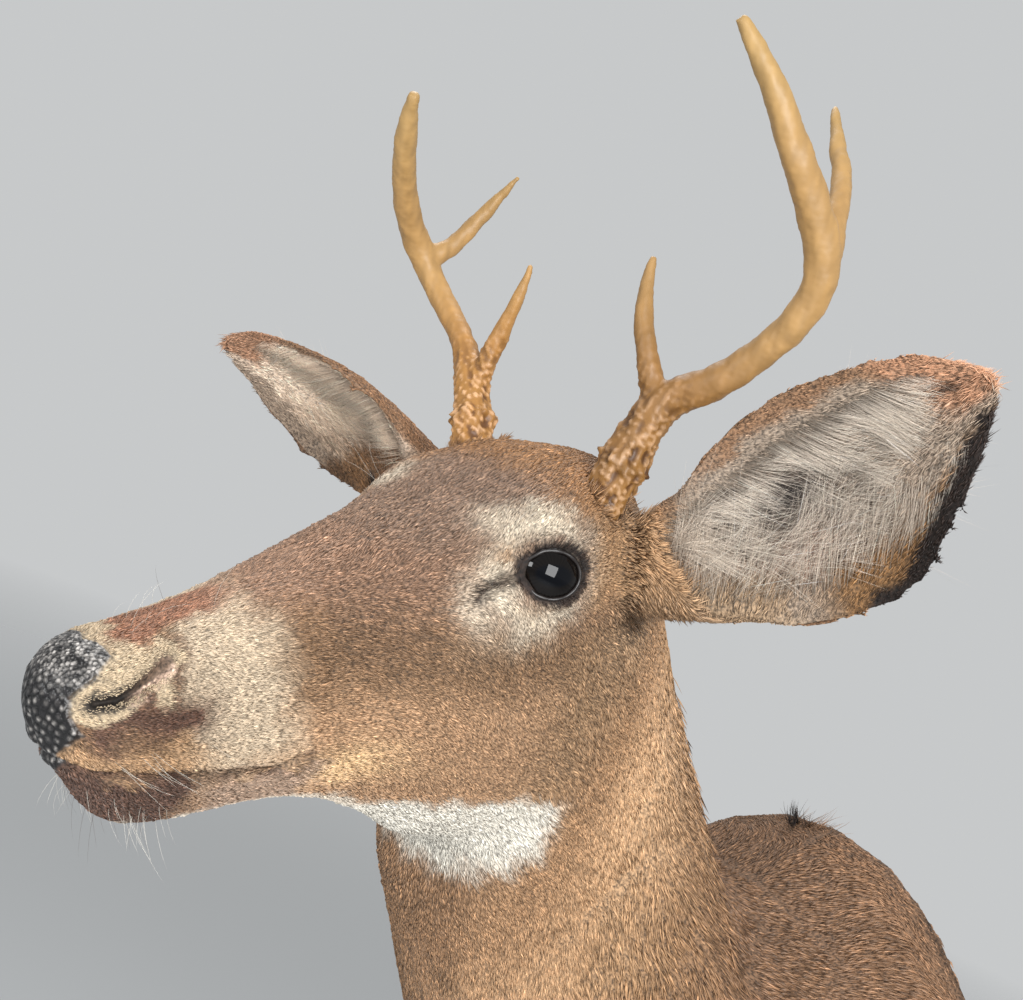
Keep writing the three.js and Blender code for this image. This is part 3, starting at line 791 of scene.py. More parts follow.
skin, shader = new_material("deer_hide", Roughness=0.75)
tint = add_node(skin, "ShaderNodeAttribute", attribute_name="hue")
place = add_node(skin, "ShaderNodeTexCoord")
down = add_node(skin, "ShaderNodeTexNoise", [(place.outputs["Object"], "Vector")], Scale=650, Detail=3)
depth = add_node(
    skin,
    "ShaderNodeMapRange",
    [(down.outputs["Fac"], 0)],
    From_Min=0.35,
    From_Max=0.65,
    To_Min=0.35,
    To_Max=1.7,
)
speckled = add_node(
    skin,
    "ShaderNodeVectorMath",
    [(tint.outputs["Color"], 0), (depth.outputs[0], 1)],
    operation="MULTIPLY",
)
join_sockets(skin, speckled.outputs[0], shader.inputs["Base Color"])
relief = add_node(skin, "ShaderNodeBump", [(down.outputs["Fac"], "Height")], Strength=0.5, Distance=0.0006)
join_sockets(skin, relief.outputs[0], shader.inputs["Normal"])
bare = add_node(skin, "ShaderNodeAttribute", attribute_name="bare")
sheen = add_node(skin, "ShaderNodeMapRange", [(bare.outputs["Fac"], 0)], To_Min=0.8, To_Max=0.36)
join_sockets(skin, sheen.outputs[0], shader.inputs["Roughness"])

hide = new_object("hide", hide_mesh, skin)
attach(hide, "root")
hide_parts(*FLESH)


# ---------------------------------------------------------------- the coat
# Short brown and cream hair that lies back from the nose. Each tuft is a thin closed sliver of mesh,
# rooted just under the hide, and each piece of the coat is one side of one region.
def lie(places, normals):
    """The way hair lies at places in the mount's frame, along the hide."""
    p = to_head(places)
    q = mirrored(p)
    x, _, z = q.T
    way = np.tile((-1.0, 0.0, -0.06), (len(q), 1))
    way[:, 2] -= 0.75 * ease(-x, 105, 235) * ease(58 - z, 0, 40)
    way[:, 2] -= 0.45 * ease(-z, 8, 22) * ease(90 + x, 0, 50)
    way[:, 2] += 0.25 * ease(z, 24, 50) * ease(-x, 40, 140)
    eye = unit(q - EYE_AT)
    way += 1.1 * eye * np.exp(-((np.linalg.norm(q - EYE_AT, axis=1) / 38) ** 4))[:, None]
    burr = q - (-255, 48, 90)
    behind = np.exp(-((np.linalg.norm(burr, axis=1) / 30) ** 2)) * (burr[:, 0] < 0)
    way += 1.0 * unit(burr) * behind[:, None]
    way *= turned_over(p)
    way = way @ HEAD_AXES
    body = ease(behind_poll(places), -40 * MM, 60 * MM)[:, None]
    way += (np.array((-0.1, 0.5, -0.85)) - way) * body
    rear = ease(places[:, 1], -0.21, -0.06)[:, None]
    high = ease(places[:, 2], 0.05, 0.17)[:, None]
    low = ease(-places[:, 2], 0.06, 0.2)[:, None]
    across = np.array((0.1, 0.75, -0.6)) + (np.array((0.1, 0.9, -0.3)) - (0.1, 0.75, -0.6)) * high
    across = across + (np.array((0, 0.6, -0.8)) - across) * low
    across[:, 0] *= np.sign(places[:, 0])
    way += (across - way) * rear
    rim = np.cross((0, 1, 0), normals) * np.sign(places[:, 0:1])
    way += (0.35 * way + rim - way) * ease(places[:, 1], -0.035, -0.012)[:, None]
    for side in EARS:
        _, w, _, (along, inward, out) = in_ear(side, p)
        inner = ease(normals @ HEAD_AXES.T @ out, -0.1, 0.3)[:, None]
        ear = one_ear_share(side, p)[:, None]
        curl = along - inward * (0.9 * w)[:, None] * inner + 0.5 * out * inner
        way += (curl @ HEAD_AXES - way) * ear
    way -= normals * (way * normals).sum(1)[:, None]
    return unit(way)


def hollowed(mesh):
    """How the mesh bends at each vertex, in 1/mm: above 0 in a hollow, below 0 on a hump."""
    spots, pairs = places_of(mesh), edges_of(mesh)
    a, b = pairs.T
    sag = ((relaxed(spots, pairs, 1, 1) - spots) * normals_of(mesh)).sum(1) / MM
    square = (np.linalg.norm(spots[a] - spots[b], axis=1) / MM) ** 2
    count = np.bincount(pairs.ravel(), minlength=len(spots))
    square = (np.bincount(a, square, len(spots)) + np.bincount(b, square, len(spots))) / count
    bend = np.repeat((2 * sag / square)[:, None], 3, 1)
    body = ease(behind_poll(spots), 0, 40 * MM)
    bend = relaxed(relaxed(bend, pairs, 0.5, 8), pairs, 0.6 * body, 30)[:, 0]
    calm = np.maximum(body, ear_share(to_head(spots)))
    return np.clip(bend, -0.025 + 0.02 * calm, 0.09 - 0.06 * calm)


bends_of_hide = hollowed(hide_mesh)


def scattered(mesh, count, weight):
    """Random places on the hide's mesh, as thick as the weight says, with its normals and bends there."""
    mesh.calc_loop_triangles()
    corners = np.empty(len(mesh.loop_triangles) * 3, np.int32)
    mesh.loop_triangles.foreach_get("vertices", corners)
    corners = corners.reshape(-1, 3)
    spots, normals = places_of(mesh), normals_of(mesh)
    a, b, c = (spots[corners[:, k]] for k in range(3))
    cross = np.cross(b - a, c - a)
    thick = weight(spots, normals)
    most = np.maximum(weight((a + b + c) / 3, unit(cross)), thick[corners].max(1))
    chance = np.cumsum(np.linalg.norm(cross, axis=1) * most)
    chosen = np.searchsorted(chance, luck.random(count * 2) * chance[-1])
    share = luck.random((len(chosen), 2))
    share = np.where(share.sum(1)[:, None] > 1, 1 - share, share)
    share = np.stack((1 - share.sum(1), share[:, 0], share[:, 1]), -1)
    at = sum(spots[corners[chosen, k]] * share[:, k : k + 1] for k in range(3))
    up = unit(sum(normals[corners[chosen, k]] * share[:, k : k + 1] for k in range(3)))
    kept = np.flatnonzero(luck.random(len(chosen)) * most[chosen] < weight(at, up))[:count]
    bow = sum(bends_of_hide[corners[chosen, k]] * share[:, k] for k in range(3))
    return at[kept], up[kept], bow[kept]


def unwrapped(places, along, middle):
    """Places laid flat by angle round a line and distance along it, filling 0 to 1 each way."""
    along = unit(np.array(along, float))
    side = unit(np.cross(along, (0.3, 0.1, 1.0)))
    arm = places - np.array(middle)
    flat = np.stack((np.arctan2(arm @ np.cross(along, side), arm @ side), arm @ along), -1)
    low, high = flat.min(0), flat.max(0)
    return 0.005 + 0.99 * (flat - low) / (high - low)


def hued_material(name, **values):
    """A principled material that takes its colour from its mesh's own hues."""
    material, shader = new_material(name, **values)
    tint = add_node(material, "ShaderNodeAttribute", attribute_name="hue")
    join_sockets(material, tint.outputs["Color"], shader.inputs["Base Color"])
    return material


hair = hued_material("deer_hair", Roughness=0.55)
WALL_GAP = 0.6  # mm from the wall, the nearest that hair comes to it
UV_PATCH = 0.003  # one hair's patch in the unwrap, where its root is


def off_wall(points):
    points[:, :, 1] = np.minimum(points[:, :, 1], -WALL_GAP * MM)
    return points


def closed_hairs(name, points, faces, hue, tone, flat, patch):
    """One mesh object of like hairs: each one's points, and the faces, tones and patch they share."""
    count, each = points.shape[:2]
    faces = np.array(faces).ravel()
    corners = (np.arange(count)[:, None] * each + faces).ravel()
    mesh = bpy.data.meshes.new(name)
    mesh.vertices.add(count * each)
    mesh.vertices.foreach_set("co", points.ravel())
    mesh.loops.add(len(corners))
    mesh.loops.foreach_set("vertex_index", corners.astype(np.int32))
    mesh.polygons.add(len(corners) // 3)
    mesh.polygons.foreach_set("loop_start", np.arange(0, len(corners), 3, dtype=np.int32))
    mesh.update(calc_edges=True)
    paint(mesh, "hue", np.clip(hue[:, None, :] * tone[..., None], 0, 1).reshape(-1, 3))
    layer = mesh.uv_layers.new(name="OFBake")
    unwrap = flat[:, None, :] + np.array(patch) * UV_PATCH
    layer.data.foreach_set("uv", unwrap[:, faces].astype(np.float32).ravel())
    return new_object(name, mesh, hair)


# A sliver's points are its root, near side, far side and tip. Its two upper faces come first.
SLIVER_FACES = ((0, 2, 1), (1, 2, 3), (0, 1, 3), (0, 3, 2))
SLIVER_PATCH = ((0, -0.5), (-0.5, 0), (0.5, 0), (0, 0.5))
ROOT_DEPTH = 0.25  # mm of each sliver that is in the hide
# Painted shade darkens each sliver towards its root, as the coat shades its own roots; the tip is paler.
DARK_TONES = np.array((0.24, 0.95, 0.95, 2.0))  # of dark hair at those four points
PALE_TONES = np.array((0.5, 0.95, 0.95, 1.08))
PALEST = 0.45


def paleness(hue):
    return np.clip(hue.mean(1) / PALEST, 0, 1)[:, None]


def slivers(name, roots, ups, bows, ways, long, wide, lift, hue, flat):
    """One closed four-sided sliver at each root, arched over the hide."""
    long, wide, lift = (np.broadcast_to(v, len(roots))[:, None] * MM for v in (long, wide, lift))
    side = np.cross(ways, ups)
    base = roots - ups * (ROOT_DEPTH * MM)
    bow = bows[:, None] / MM * long**2 / 2
    bend = roots + ways * long * 0.45 + ups * (lift + bow * 0.2)
    tip = roots + ways * long + ups * (lift * 0.6 + bow)
    points = off_wall(np.stack((base, bend - side * wide / 2, bend + side * wide / 2, tip), 1))
    # a sliver that dips has its sides change places, which keeps its faces outwards
    dips = np.linalg.det(points[:, 1:] - points[:, :1]) < 0
    points[dips, 1:3] = points[dips, 2:0:-1]
    tone = DARK_TONES + (PALE_TONES - DARK_TONES) * paleness(hue)
    return closed_hairs(name, points, SLIVER_FACES, hue, tone, flat, SLIVER_PATCH)


def bare_share(places):
    """1 where no hair grows: the nose pad, the nostril, the eye's opening, and the back."""
    q = mirrored(to_head(places))
    level, arm = in_opening(q)
    near = (arm @ EYE_OUT > 0) & (np.linalg.norm(arm, axis=1) < 30)
    none = np.maximum(ease(on_pad(q), 0.3, 0.7), near * ease(1.14 - level, 0, 0.06))
    gap, share = near_nostril(q)
    none = np.maximum(none, gap < np.interp(share, (0, 0.3, 0.7, 1), (1.4, 1.9, 3.3, 2.8)))
    none = np.maximum(none, near_line(q, TEAR_DUCT)[0] < 1.3)
    y = places[:, 1]
    none = np.maximum(none, (y > -1.2 * MM) | ((at_back(places) > 0.99) & (y < -3.4 * MM)))
    return np.maximum(none, is_recess(places))


def zone_shares(places):
    """How much of each region a place is. Together they come to 1."""
    p = to_head(places)
    ear = ear_share(p) > 0.5
    body = behind_poll(places) > 0
    rear = places[:, 1] > -0.2
    muzzle = p[:, 0] > -105
    return {
        "muzzle": ~ear & ~body & muzzle,
        "face": ~ear & ~body & ~muzzle,
        "neck": ~ear & body & ~rear,
        "trunk": ~ear & body & rear,
        "ear": ear,
    }


def in_hollow(places, ups):
    """1 in the hollow of either ear."""
    p = to_head(places)
    total = np.zeros(len(p))
    for side in EARS:
        _, w, _, ways = in_ear(side, p)
        inside = ease(ups @ HEAD_AXES.T @ ways[2], 0.2, 0.5) * ease(0.85 - np.abs(w), 0, 0.15)
        total += inside * one_ear_share(side, p)
    return total


def at_side(places, hand):
    """1 on one side of the deer's middle, which bends where the head is turned."""
    face = to_head(places)[:, 1] * MM
    body = ease(behind_poll(places), 0, 60 * MM)
    return (face + (places[:, 0] - face) * body) * hand > 0


# Tufts on each side, their length, width and lift in mm, and the spread of their lie.
REGIONS = {
    "muzzle": (27000, 5.0, 0.37, 0.4, 0.13),
    "face": (42500, 6.4, 0.5, 0.5, 0.13),
    "neck": (40000, 9.0, 0.6, 0.5, 0.11),
    "trunk": (44500, 10.5, 0.72, 0.6, 0.12),
    "ear": (19000, 7.5, 0.38, 0.45, 0.16),
}
AXES = {
    # the line that a region's unwrap goes round: its way, and a place on it
    "muzzle": (HEAD_AXES[0], from_head((-60, 0, -5))),
    "face": (HEAD_AXES[0], from_head((-200, 0, 10))),
    "neck": ((0.15, 0.45, -0.85), (0, -0.25, 0.05)),
    "trunk": ((0, 1, 0), (0, 0, 0)),
}
coat_count = 1.0


def ear_unwrapped(side, places):
    """As unwrapped, round the middle of an ear, for places in head coordinates."""
    _, _, _, (along, _, out) = in_ear(side, places)
    return unwrapped(places, along, np.array(EARS[side][0]) + out * 12)


for region, (count, long, wide, lift, spread) in REGIONS.items():
    for side, hand in SIDES.items():

        def thickness(at, up):
            here = zone_shares(at)[region] * at_side(at, hand)
            return here * (1 - bare_share(at)) * (1 - 0.5 * in_hollow(at, up))

        roots, ups, bows = scattered(hide_mesh, int(count * coat_count), thickness)
        p = to_head(roots)
        ways = lie(roots, ups)
        swirl = ripple(p, 34)[:, None] * 0.16 + ripple(p + 300, 8)[:, None] * spread
        ways = unit(ways + np.cross(ups, ways) * (swirl + luck.normal(0, spread, (len(roots), 1))))
        size = np.exp(luck.normal(0, 0.18, len(roots)))
        if region == "muzzle":
            size *= 0.7 + 0.5 * ease(-p[:, 0], 15, 100)
            size *= 0.3 + 0.7 * ease(near_nostril(mirrored(p))[0], 2, 9)
        if region == "face":
            size *= 0.85 + 0.5 * ease(-p[:, 0], 190, 280)
            size *= 1 - 0.45 * spot(mirrored(p), (-205, 58, 52), (26, 24, 24))
        if region == "ear":
            size *= 1 - 0.65 * ease(np.abs(in_ear(side, p)[1]), 0.65, 0.9)
        if region in ("neck", "trunk"):
            size *= 1 - 0.45 * ease(50 * MM - behind_poll(roots), 0, 50 * MM)
            size *= 1 - 0.45 * ease(roots[:, 1], -30 * MM, -8 * MM)
        hue = marking(roots, ups)
        hue *= np.exp(luck.normal(0, 1, (len(roots), 1)) * (0.4 - 0.22 * paleness(hue)))
        hue *= 1 + 0.12 * ripple(p, 5)[:, None]
        flat = ear_unwrapped(side, p) if region == "ear" else unwrapped(roots, *AXES[region])
        rise = lift * np.exp(luck.normal(0, 0.35, len(roots)))
        measures = (long * size, wide * size**0.5, rise)
        piece = slivers(f"coat_{region}_{side}", roots, ups, bows, ways, *measures, hue, flat)
        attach(piece, "root")

# Longer hair: thin strands with three edges, at these angles round them.
CORNERS = (0, 2.09, 4.19)


def strands(name, roots, starts, bends, long, thick, hue, flat, rings=3):
    """One thin closed three-sided hair at each root, which sets off one way and bends another."""
    long, thick = (np.broadcast_to(v, len(roots))[:, None] * MM for v in (long, thick))
    side = unit(np.cross(starts, bends + 0.01))
    other = np.cross(starts, side)
    rows = []
    for ring in range(rings):
        t = ring / rings
        middle = roots + long * (starts * t + bends * t * t)
        for turn in CORNERS:
            out = side * math.cos(turn) + other * math.sin(turn)
            rows.append(middle + thick * (1 - 0.75 * t) / 2 * out)
    rows.append(roots + long * (starts + bends))
    faces = [(0, 2, 1)]
    for ring in range(rings - 1):
        for k in range(3):
            a, b = ring * 3 + k, ring * 3 + (k + 1) % 3
            faces += [(a, b, b + 3), (a, b + 3, a + 3)]
    last = rings * 3 - 3
    faces += [(last + k, last + (k + 1) % 3, last + 3) for k in range(3)]
    share = np.arange(len(rows)) // 3 / rings
    patch = np.stack((np.tile((-0.5, 0, 0.5), rings + 1)[: len(rows)], share - 0.5), -1)
    return closed_hairs(name, off_wall(np.stack(rows, 1)), faces, hue, 0.65 + 0.6 * share, flat, patch)


# The hollow of each ear: long pale hair that sets off inwards from both rims, and turns to the tip.
EAR_HAIRS = 5200
EAR_HAIR_LONG, EAR_HAIR_THICK = 25, 0.23  # mm
for side in EARS:

    def hollow(at, up):
        p = to_head(at)
        u, w, _, ways = in_ear(side, p)
        open_in = (up @ HEAD_AXES.T @ ways[2] > 0.45) & (one_ear_share(side, p) > 0.6)
        sparse = spot(np.stack((u, w), -1), (0.33, 0.25), (0.16, 0.29))
        thick = (0.4 + ease(w, -0.7, 0.6)) * (1 - 0.92 * sparse)
        if side == "right":
            thick = thick * ease(u + 0.25 * w, 0.3, 0.42)
        return open_in * (u < 0.84) * (np.abs(w) < 0.7) * thick

    roots, ups, _ = scattered(hide_mesh, int(EAR_HAIRS * coat_count), hollow)
    p = to_head(roots)
    u, w, _, (along, inward, out) = in_ear(side, p)
    sway = ripple(p, 30)[:, None] * 0.45 + luck.normal(0, 0.22, (len(roots), 1))
    sway *= 1 - 0.75 * ease(np.abs(w), 0.45, 0.68)[:, None]
    starts = along * 0.6 + out * 0.3 - inward * (0.95 * w[:, None] + sway)
    bends = along * 0.15 - out * 0.3 - inward * (0.35 * w[:, None] + 0.5 * sway)
    # the right ear's hair takes the near-white painted light of its inside
    own = HUES["ear_hair" if side == "left" else "ear_far_painted_light"]
    hue = own * np.exp(luck.normal(0, 0.3, (len(roots), 1)))
    hue = hue + (marking(roots, ups) - hue) * 0.35
    flat = ear_unwrapped(side, p)
    long = EAR_HAIR_LONG * np.exp(luck.normal(0, 0.22, len(roots))) * (1 - 0.55 * ease(u, 0.55, 0.85))
    long *= 1 - 0.5 * spot(np.stack((u, w), -1), (0.34, 0.4), (0.16, 0.35))
    starts, bends = unit(starts) @ HEAD_AXES, bends @ HEAD_AXES
    piece = strands(f"ear_hair_{side}", roots, starts, bends, long, EAR_HAIR_THICK, hue, flat, 2)
    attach(piece, "root")

# At the top of the hide's back edge a dark tuft leans ahead, with loose tan hairs behind it.
TOP_TUFTS = (
    # where in mm, hairs, spread of their roots, the way they stand, length, and hue
    ((-30, -10, 198), 70, (3.5, 2.5, 0.8), (-0.25, -0.35, 0.9), 14, "ear_rim"),
    ((-18, -6, 203), 60, (9, 2, 1.5), (0.25, 0.5, 0.8), 17, "withers"),
)
TUFT_HAIR_THICK = 0.45
surface = places_of(hide_mesh)
for number, (at, count, spread, way, long, tint_name) in enumerate(TOP_TUFTS):
    near = surface[np.argmin(np.linalg.norm(surface - np.array(at) * MM, axis=1))]
    roots = near + luck.normal(0, 1, (count, 3)) * np.array(spread) * MM
    roots = surface[[np.argmin(((surface - root) ** 2).sum(1)) for root in roots]]
    roots = roots + luck.normal(0, 0.001, (count, 3))
    starts = unit(np.array(way) + luck.normal(0, 0.2, (count, 3)))
    bends = np.array((0, 0.12, -0.1)) + luck.normal(0, 0.12, (count, 3))
    hue = HUES[tint_name] * np.exp(luck.normal(0.2, 0.3, (count, 1)))
    flat = 0.1 + 0.8 * luck.random((count, 2))
    long = long * luck.uniform(0.6, 1.2, count)
    piece = strands(f"top_tuft_{number + 1}", roots, starts, bends, long, TUFT_HAIR_THICK, hue, flat)
    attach(piece, "root")

# Whiskers: long stiff hairs on the upper lip, the chin, over the nose and over the eye.
WHISKERS = (
    # how many a side, middle and spread of their roots in head coordinates, length, and way they set off
    (12, (-34, 27, -20), (16, 4, 5), 15, (-0.3, 0.8, -0.5)),
    (26, (-30, 17, -46), (20, 9, 3), 16, (0.1, 0.3, -0.95)),
    (5, (-40, 6, 29), (16, 5, 3), 22, (-0.1, 0.4, 0.9)),
    (4, (-186, 50, 76), (8, 4, 3), 26, (0.3, 0.5, 0.8)),
)
WHISKER_THICK = 0.13
roots, ways, sizes = [], [], []
surface = to_head(surface)
for count, middle, spread, long, way in WHISKERS:
    for hand in SIDES.values():
        for _ in range(count):
            aim = (np.array(middle) + luck.normal(size=3) * np.array(spread) * 0.6) * (1, hand, 1)
            roots.append(surface[np.argmin(((surface - aim) ** 2).sum(1))])
            ways.append((np.array(way) + luck.normal(0, 0.22, 3)) * (1, hand, 1))
            sizes.append(long * luck.uniform(0.5, 1.4))
roots = from_head(np.array(roots))
starts = unit(np.array(ways)) @ HEAD_AXES
bends = np.array((-0.35, 0, -0.2)) @ HEAD_AXES + luck.normal(0, 0.12, (len(roots), 3))
hue = np.where(luck.random((len(roots), 1)) < 0.6, HUES["bib"], HUES["lip_edge"] * 0.5)
flat = unwrapped(roots, *AXES["muzzle"])
piece = strands("whiskers", roots, starts, bends, np.array(sizes), WHISKER_THICK, hue, flat, 5)
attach(piece, "root")

# ---------------------------------------------------------------- eyes and lids
# Cast glass eyes, nearly black, with a wide blue-black pupil in a dark brown iris, in thin leathery lid
# rims with short lashes over them.
EYE_HUES = {"pupil": "#05060a", "iris": "#0d0a09", "edge": "#0a0706", "white": "#5f5850"}
EYE_HUES = {name: np.array(linear(code)) for name, code in EYE_HUES.items()}
PUPIL = (8.5, 5)  # its half width and height, in mm
IRIS_EDGE = (10.2, 11.2)  # radii between which the iris darkens, and then turns to the white
WHITE_EDGE = (12.2, 13.2)
LID_STEPS = 72
LID_SIDES = 8
LID_THICK = 1.05  # the lid rim's radius
LASHES = 60
LASH_THICK = 0.32
glass = hued_material("eye_glass", Roughness=0.03, ior=1.3)
lid_skin, _ = new_material("lid_skin", Base_Color=(*linear("#17110f"), 1), Roughness=0.38)


def lid_edge(turns):
    """Places on the left eye's opening at angles from its front, in head coordinates."""
    flat = np.cos(turns)[:, None] * EYE_AHEAD + np.sin(turns)[:, None] * EYE_UP
    size = np.full(len(turns), 12.0)
    for _ in range(12):
        size /= in_opening(EYE_AT + flat * size[:, None] + EYE_OUT)[0]
    deep = np.sqrt(EYE_RADIUS**2 - size**2)
    return EYE_AT + unit(flat * size[:, None] + EYE_OUT * deep[:, None]) * (EYE_RADIUS + 0.5)


for side, hand in SIDES.items():
    turn_over = np.array((1, hand, 1))
    work = bmesh.new()
    bmesh.ops.create_uvsphere(work, u_segments=72, v_segments=48, radius=EYE_RADIUS * MM)
    ball = bpy.data.meshes.new(f"glass_eye_{side}")
    work.to_mesh(ball)
    work.free()
    # the sphere's faces stay outwards: the left eye's two axes change places, and the right is mirrored
    across = (EYE_UP, EYE_AHEAD) if hand > 0 else (EYE_AHEAD, EYE_UP)
    arm = places_of(ball) / MM @ np.array((*across, EYE_OUT))
    set_places(ball, from_head((arm + EYE_AT) * turn_over))
    ahead, up = arm @ EYE_AHEAD, arm @ EYE_UP
    ring = np.hypot(ahead, up)
    hue = np.tile(EYE_HUES["iris"], (len(arm), 1))
    hue *= 1 + 0.5 * np.sin(np.arctan2(up, ahead) * 40)[:, None]
    in_pupil = ease(1.1 - np.hypot(ahead / PUPIL[0], up / PUPIL[1]), 0, 0.2)
    hue += (EYE_HUES["pupil"] - hue) * in_pupil[:, None]
    hue += (EYE_HUES["edge"] - hue) * ease(ring, *IRIS_EDGE)[:, None]
    hue += (EYE_HUES["white"] - hue) * ease(ring, *WHITE_EDGE)[:, None]
    paint(ball, "hue", hue)
    shade_smooth(ball)
    eye = new_object(f"glass_eye_{side}", ball, glass)
    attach(eye, "root")
    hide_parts(f"eye_{side}")

    turns = np.arange(LID_STEPS) / LID_STEPS * 2 * math.pi
    edge = lid_edge(turns)
    run = unit(np.roll(edge, -1, 0) - np.roll(edge, 1, 0))
    out = unit(edge - EYE_AT)
    aside = np.cross(run, out)
    loop = np.arange(LID_SIDES)[None, :, None] / LID_SIDES * 2 * math.pi
    thick = (LID_THICK + 0.12 * np.sin(turns * 9))[:, None, None]
    tube = edge[:, None] + thick * (out[:, None] * np.sin(loop) + aside[:, None] * np.cos(loop))
    tube = (tube * turn_over).reshape(-1, 3)
    faces = []
    for i in range(LID_STEPS):
        for j in range(LID_SIDES):
            a, b = i * LID_SIDES, (i + 1) % LID_STEPS * LID_SIDES
            k = (j + 1) % LID_SIDES
            faces.append((a + j, a + k, b + k, b + j)[::-hand])
    rim = bpy.data.meshes.new(f"lid_rim_{side}")
    rim.from_pydata(from_head(tube).tolist(), [], faces)
    shade_smooth(rim)
    piece = new_object(f"lid_rim_{side}", rim, lid_skin)
    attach(piece, "root")

    turns = luck.uniform(0.15, 2.85, LASHES)
    roots = lid_edge(turns)
    out = unit(roots - EYE_AT)
    fan = unit(np.cos(turns)[:, None] * EYE_AHEAD + np.sin(turns)[:, None] * EYE_UP)
    starts = unit(out * 0.8 + fan * 0.55 + luck.normal(0, 0.12, (LASHES, 3)))
    bends = fan * 0.3 - EYE_AHEAD * 0.15
    roots = from_head(roots * turn_over)
    starts, bends = (way * turn_over @ HEAD_AXES for way in (starts, bends))
    hue = np.tile(HUES["duct"] * 0.4, (LASHES, 1))
    flat = np.stack((turns / 3, np.full(LASHES, 0.5)), -1)
    long = luck.uniform(5, 9, LASHES)
    piece = strands(f"lashes_{side}", roots, starts, bends, long, LASH_THICK, hue, flat, 4)
    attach(piece, "root")

# ---------------------------------------------------------------- antlers
# Real antler, one solid a side: beaded and ridged over the burr, smooth and satin to pale tips.
ANTLER_PARTS = ("base", "beam", "beam_tip", "brow_tine", "upper_tine")
ANTLER_GRAIN = 1.15 * MM
BURR = np.array((-255, 48, 97))
ANTLER_HUES = {
    "base": "#88602f", "pearl": "#b18a64", "groove": "#4a2c14",
    "mid": "#9f7c4c", "high": "#7b643d", "tip": "#a88855",
}  # fmt: skip
ANTLER_HUES = {name: np.array(linear(code)) for name, code in ANTLER_HUES.items()}
antler_bone = hued_material("antler", Roughness=0.5)

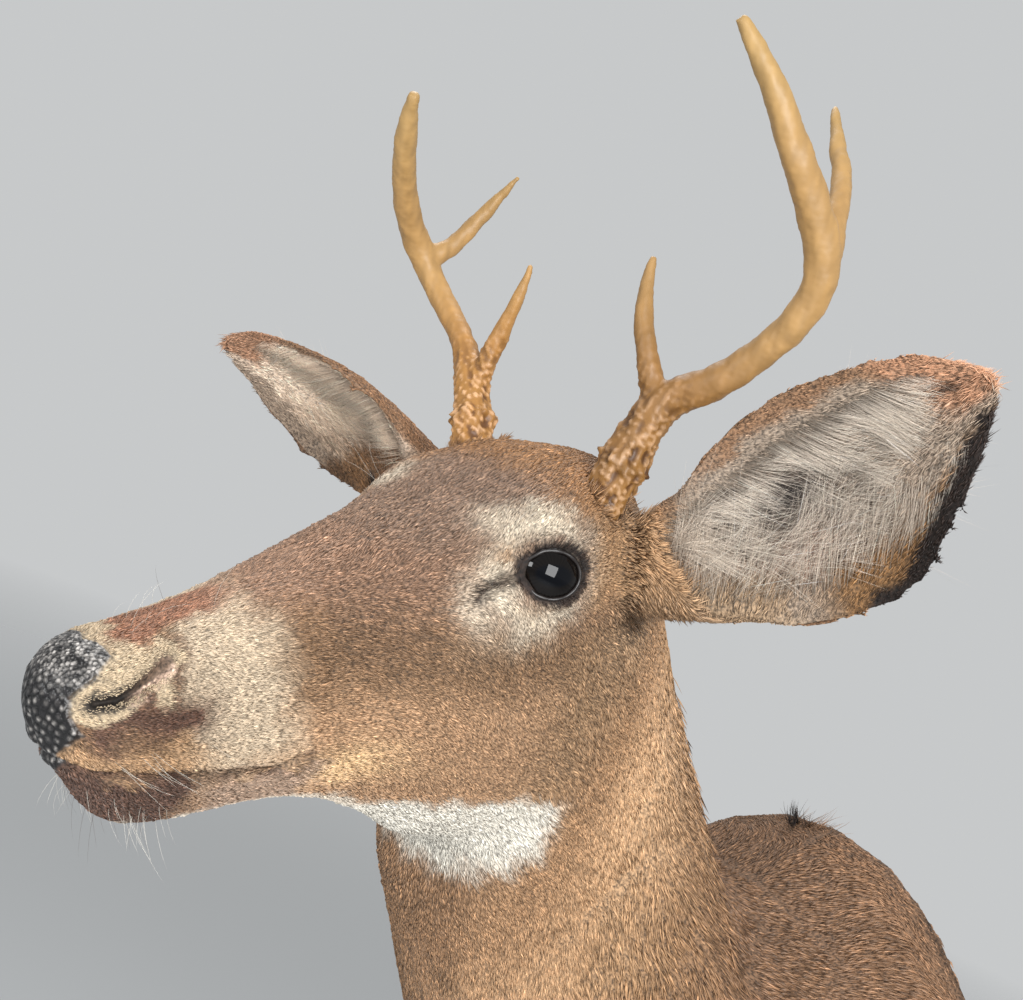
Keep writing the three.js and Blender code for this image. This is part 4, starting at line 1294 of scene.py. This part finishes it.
for side, hand in SIDES.items():
    names = [f"antler_{side}_{part}" for part in ANTLER_PARTS]
    mesh = fused(names, ANTLER_GRAIN)
    pairs = edges_of(mesh)
    set_places(mesh, relaxed(places_of(mesh), pairs, 0.5, 9))
    p = to_head(places_of(mesh))
    low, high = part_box(names[0])
    base_middle = to_head([(low[k] + high[k]) / 2 for k in range(3)])
    burr = BURR * (1, hand, 1)
    axis = unit(base_middle - burr)
    arm = p - burr
    height = arm @ axis
    far = np.linalg.norm(arm, axis=1)
    rough = 1 - ease(far, 12, 72)
    drawn = arm - axis * height[:, None] * 0.72
    ridge = 1 - np.abs(ripple(drawn, 9)) * 1.2
    bead = np.maximum(0, ripple(arm, 5))
    push = 0.5 + rough * (0.9 * ridge + 0.8 * bead) - 0.8 * rough
    push += 0.3 * ripple(p * (1, 1, 0.3), 12) + 0.12 * ripple(p, 4)
    push += (1.8 + 1.3 * ripple(arm, 6)) * np.exp(-(((height - 6) / 4) ** 2)) * (far < 40)
    p = p + (normals_of(mesh) @ HEAD_AXES.T) * push[:, None]
    set_places(mesh, from_head(p))
    set_places(mesh, relaxed(places_of(mesh), pairs, 0.35, 1))
    top = p[:, 2].max()
    hue = np.tile(ANTLER_HUES["base"], (len(p), 1))
    hue += (ANTLER_HUES["mid"] - hue) * ease(far, 40, 110)[:, None]
    hue += (ANTLER_HUES["high"] - hue) * (0.85 * ease(far, 150, 250) * (0.7 + 0.3 * ripple(p, 50)))[:, None]
    hue += (ANTLER_HUES["tip"] - hue) * (0.7 * ease(p[:, 2], top - 60, top - 6))[:, None]
    # the pearls' paler colour is partly their own and partly a painted highlight
    hue += (ANTLER_HUES["pearl"] - hue) * (rough * ease(bead + 0.5 * ridge, 0.5, 1.1))[:, None]
    hue += (ANTLER_HUES["groove"] - hue) * (rough * ease(0.25 - bead - 0.4 * ridge, 0, 0.4) * 0.9)[:, None]
    # painted light: the right antler's base is painted lighter and the left's darker, for how light falls on
    # them
    hue *= 1 + (0.3 if hand < 0 else -0.12) * (1 - ease(far, 60, 150))[:, None]
    streak = ripple(p * (1, 1, 0.2), 6)
    hue *= 1 + 0.07 * streak[:, None] + 0.05 * ripple(p, 22)[:, None]
    paint(mesh, "hue", np.clip(hue, 0, 1))
    shade_smooth(mesh)
    piece = new_object(f"antler_{side}", mesh, antler_bone)
    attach(piece, "root")
    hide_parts(*names)

# ---------------------------------------------------------------- board, strip and screws
# Birch plywood with its plies showing at the edge, and zinc-plated steel fittings.
PLY_WAVE = 1150  # radians a metre: a dark and a pale ply together are 5.5 mm thick
GRAIN_SCALE = (9, 60, 150)  # the grain runs across the board
plywood, shader = new_material("birch_plywood", Roughness=0.65)
place = add_node(plywood, "ShaderNodeTexCoord")
split = add_node(plywood, "ShaderNodeSeparateXYZ", [(place.outputs["Object"], 0)])
ply = add_node(plywood, "ShaderNodeMath", [(split.outputs["Y"], 0)], operation="MULTIPLY")
ply.inputs[1].default_value = PLY_WAVE
ply_wave = add_node(plywood, "ShaderNodeMath", [(ply.outputs[0], 0)], operation="SINE")
drawn = add_node(plywood, "ShaderNodeVectorMath", [(place.outputs["Object"], 0)], operation="MULTIPLY")
drawn.inputs[1].default_value = GRAIN_SCALE
grain = add_node(plywood, "ShaderNodeTexNoise", [(drawn.outputs[0], "Vector")], Scale=1.0)
blend = add_node(
    plywood,
    "ShaderNodeMath",
    [(ply_wave.outputs[0], 0), (grain.outputs["Fac"], 2)],
    operation="MULTIPLY_ADD",
)
blend.inputs[1].default_value = 0.16  # how much the plies change the grain's tone
tone = add_node(plywood, "ShaderNodeValToRGB", [(blend.outputs[0], 0)])
for stop, position, colour in zip(tone.color_ramp.elements, (0.25, 0.75), ("#9a7448", "#d6b484")):
    stop.position = position
    stop.color = (*linear(colour), 1)
join_sockets(plywood, tone.outputs["Color"], shader.inputs["Base Color"])
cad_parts["backboard"].material_slots[0].material = plywood
ZINC = (*linear("#b4b7b8"), 1)
zinc, _ = new_material("zinc_plated_steel", Base_Color=ZINC, Metallic=1.0, Roughness=0.34)
for name in ["hanger_strip"] + [f"screw_{i}" for i in range(1, 5)]:
    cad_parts[name].material_slots[0].material = zinc

size = {"cad": cad_box, "visual": [list(corner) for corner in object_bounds()]}
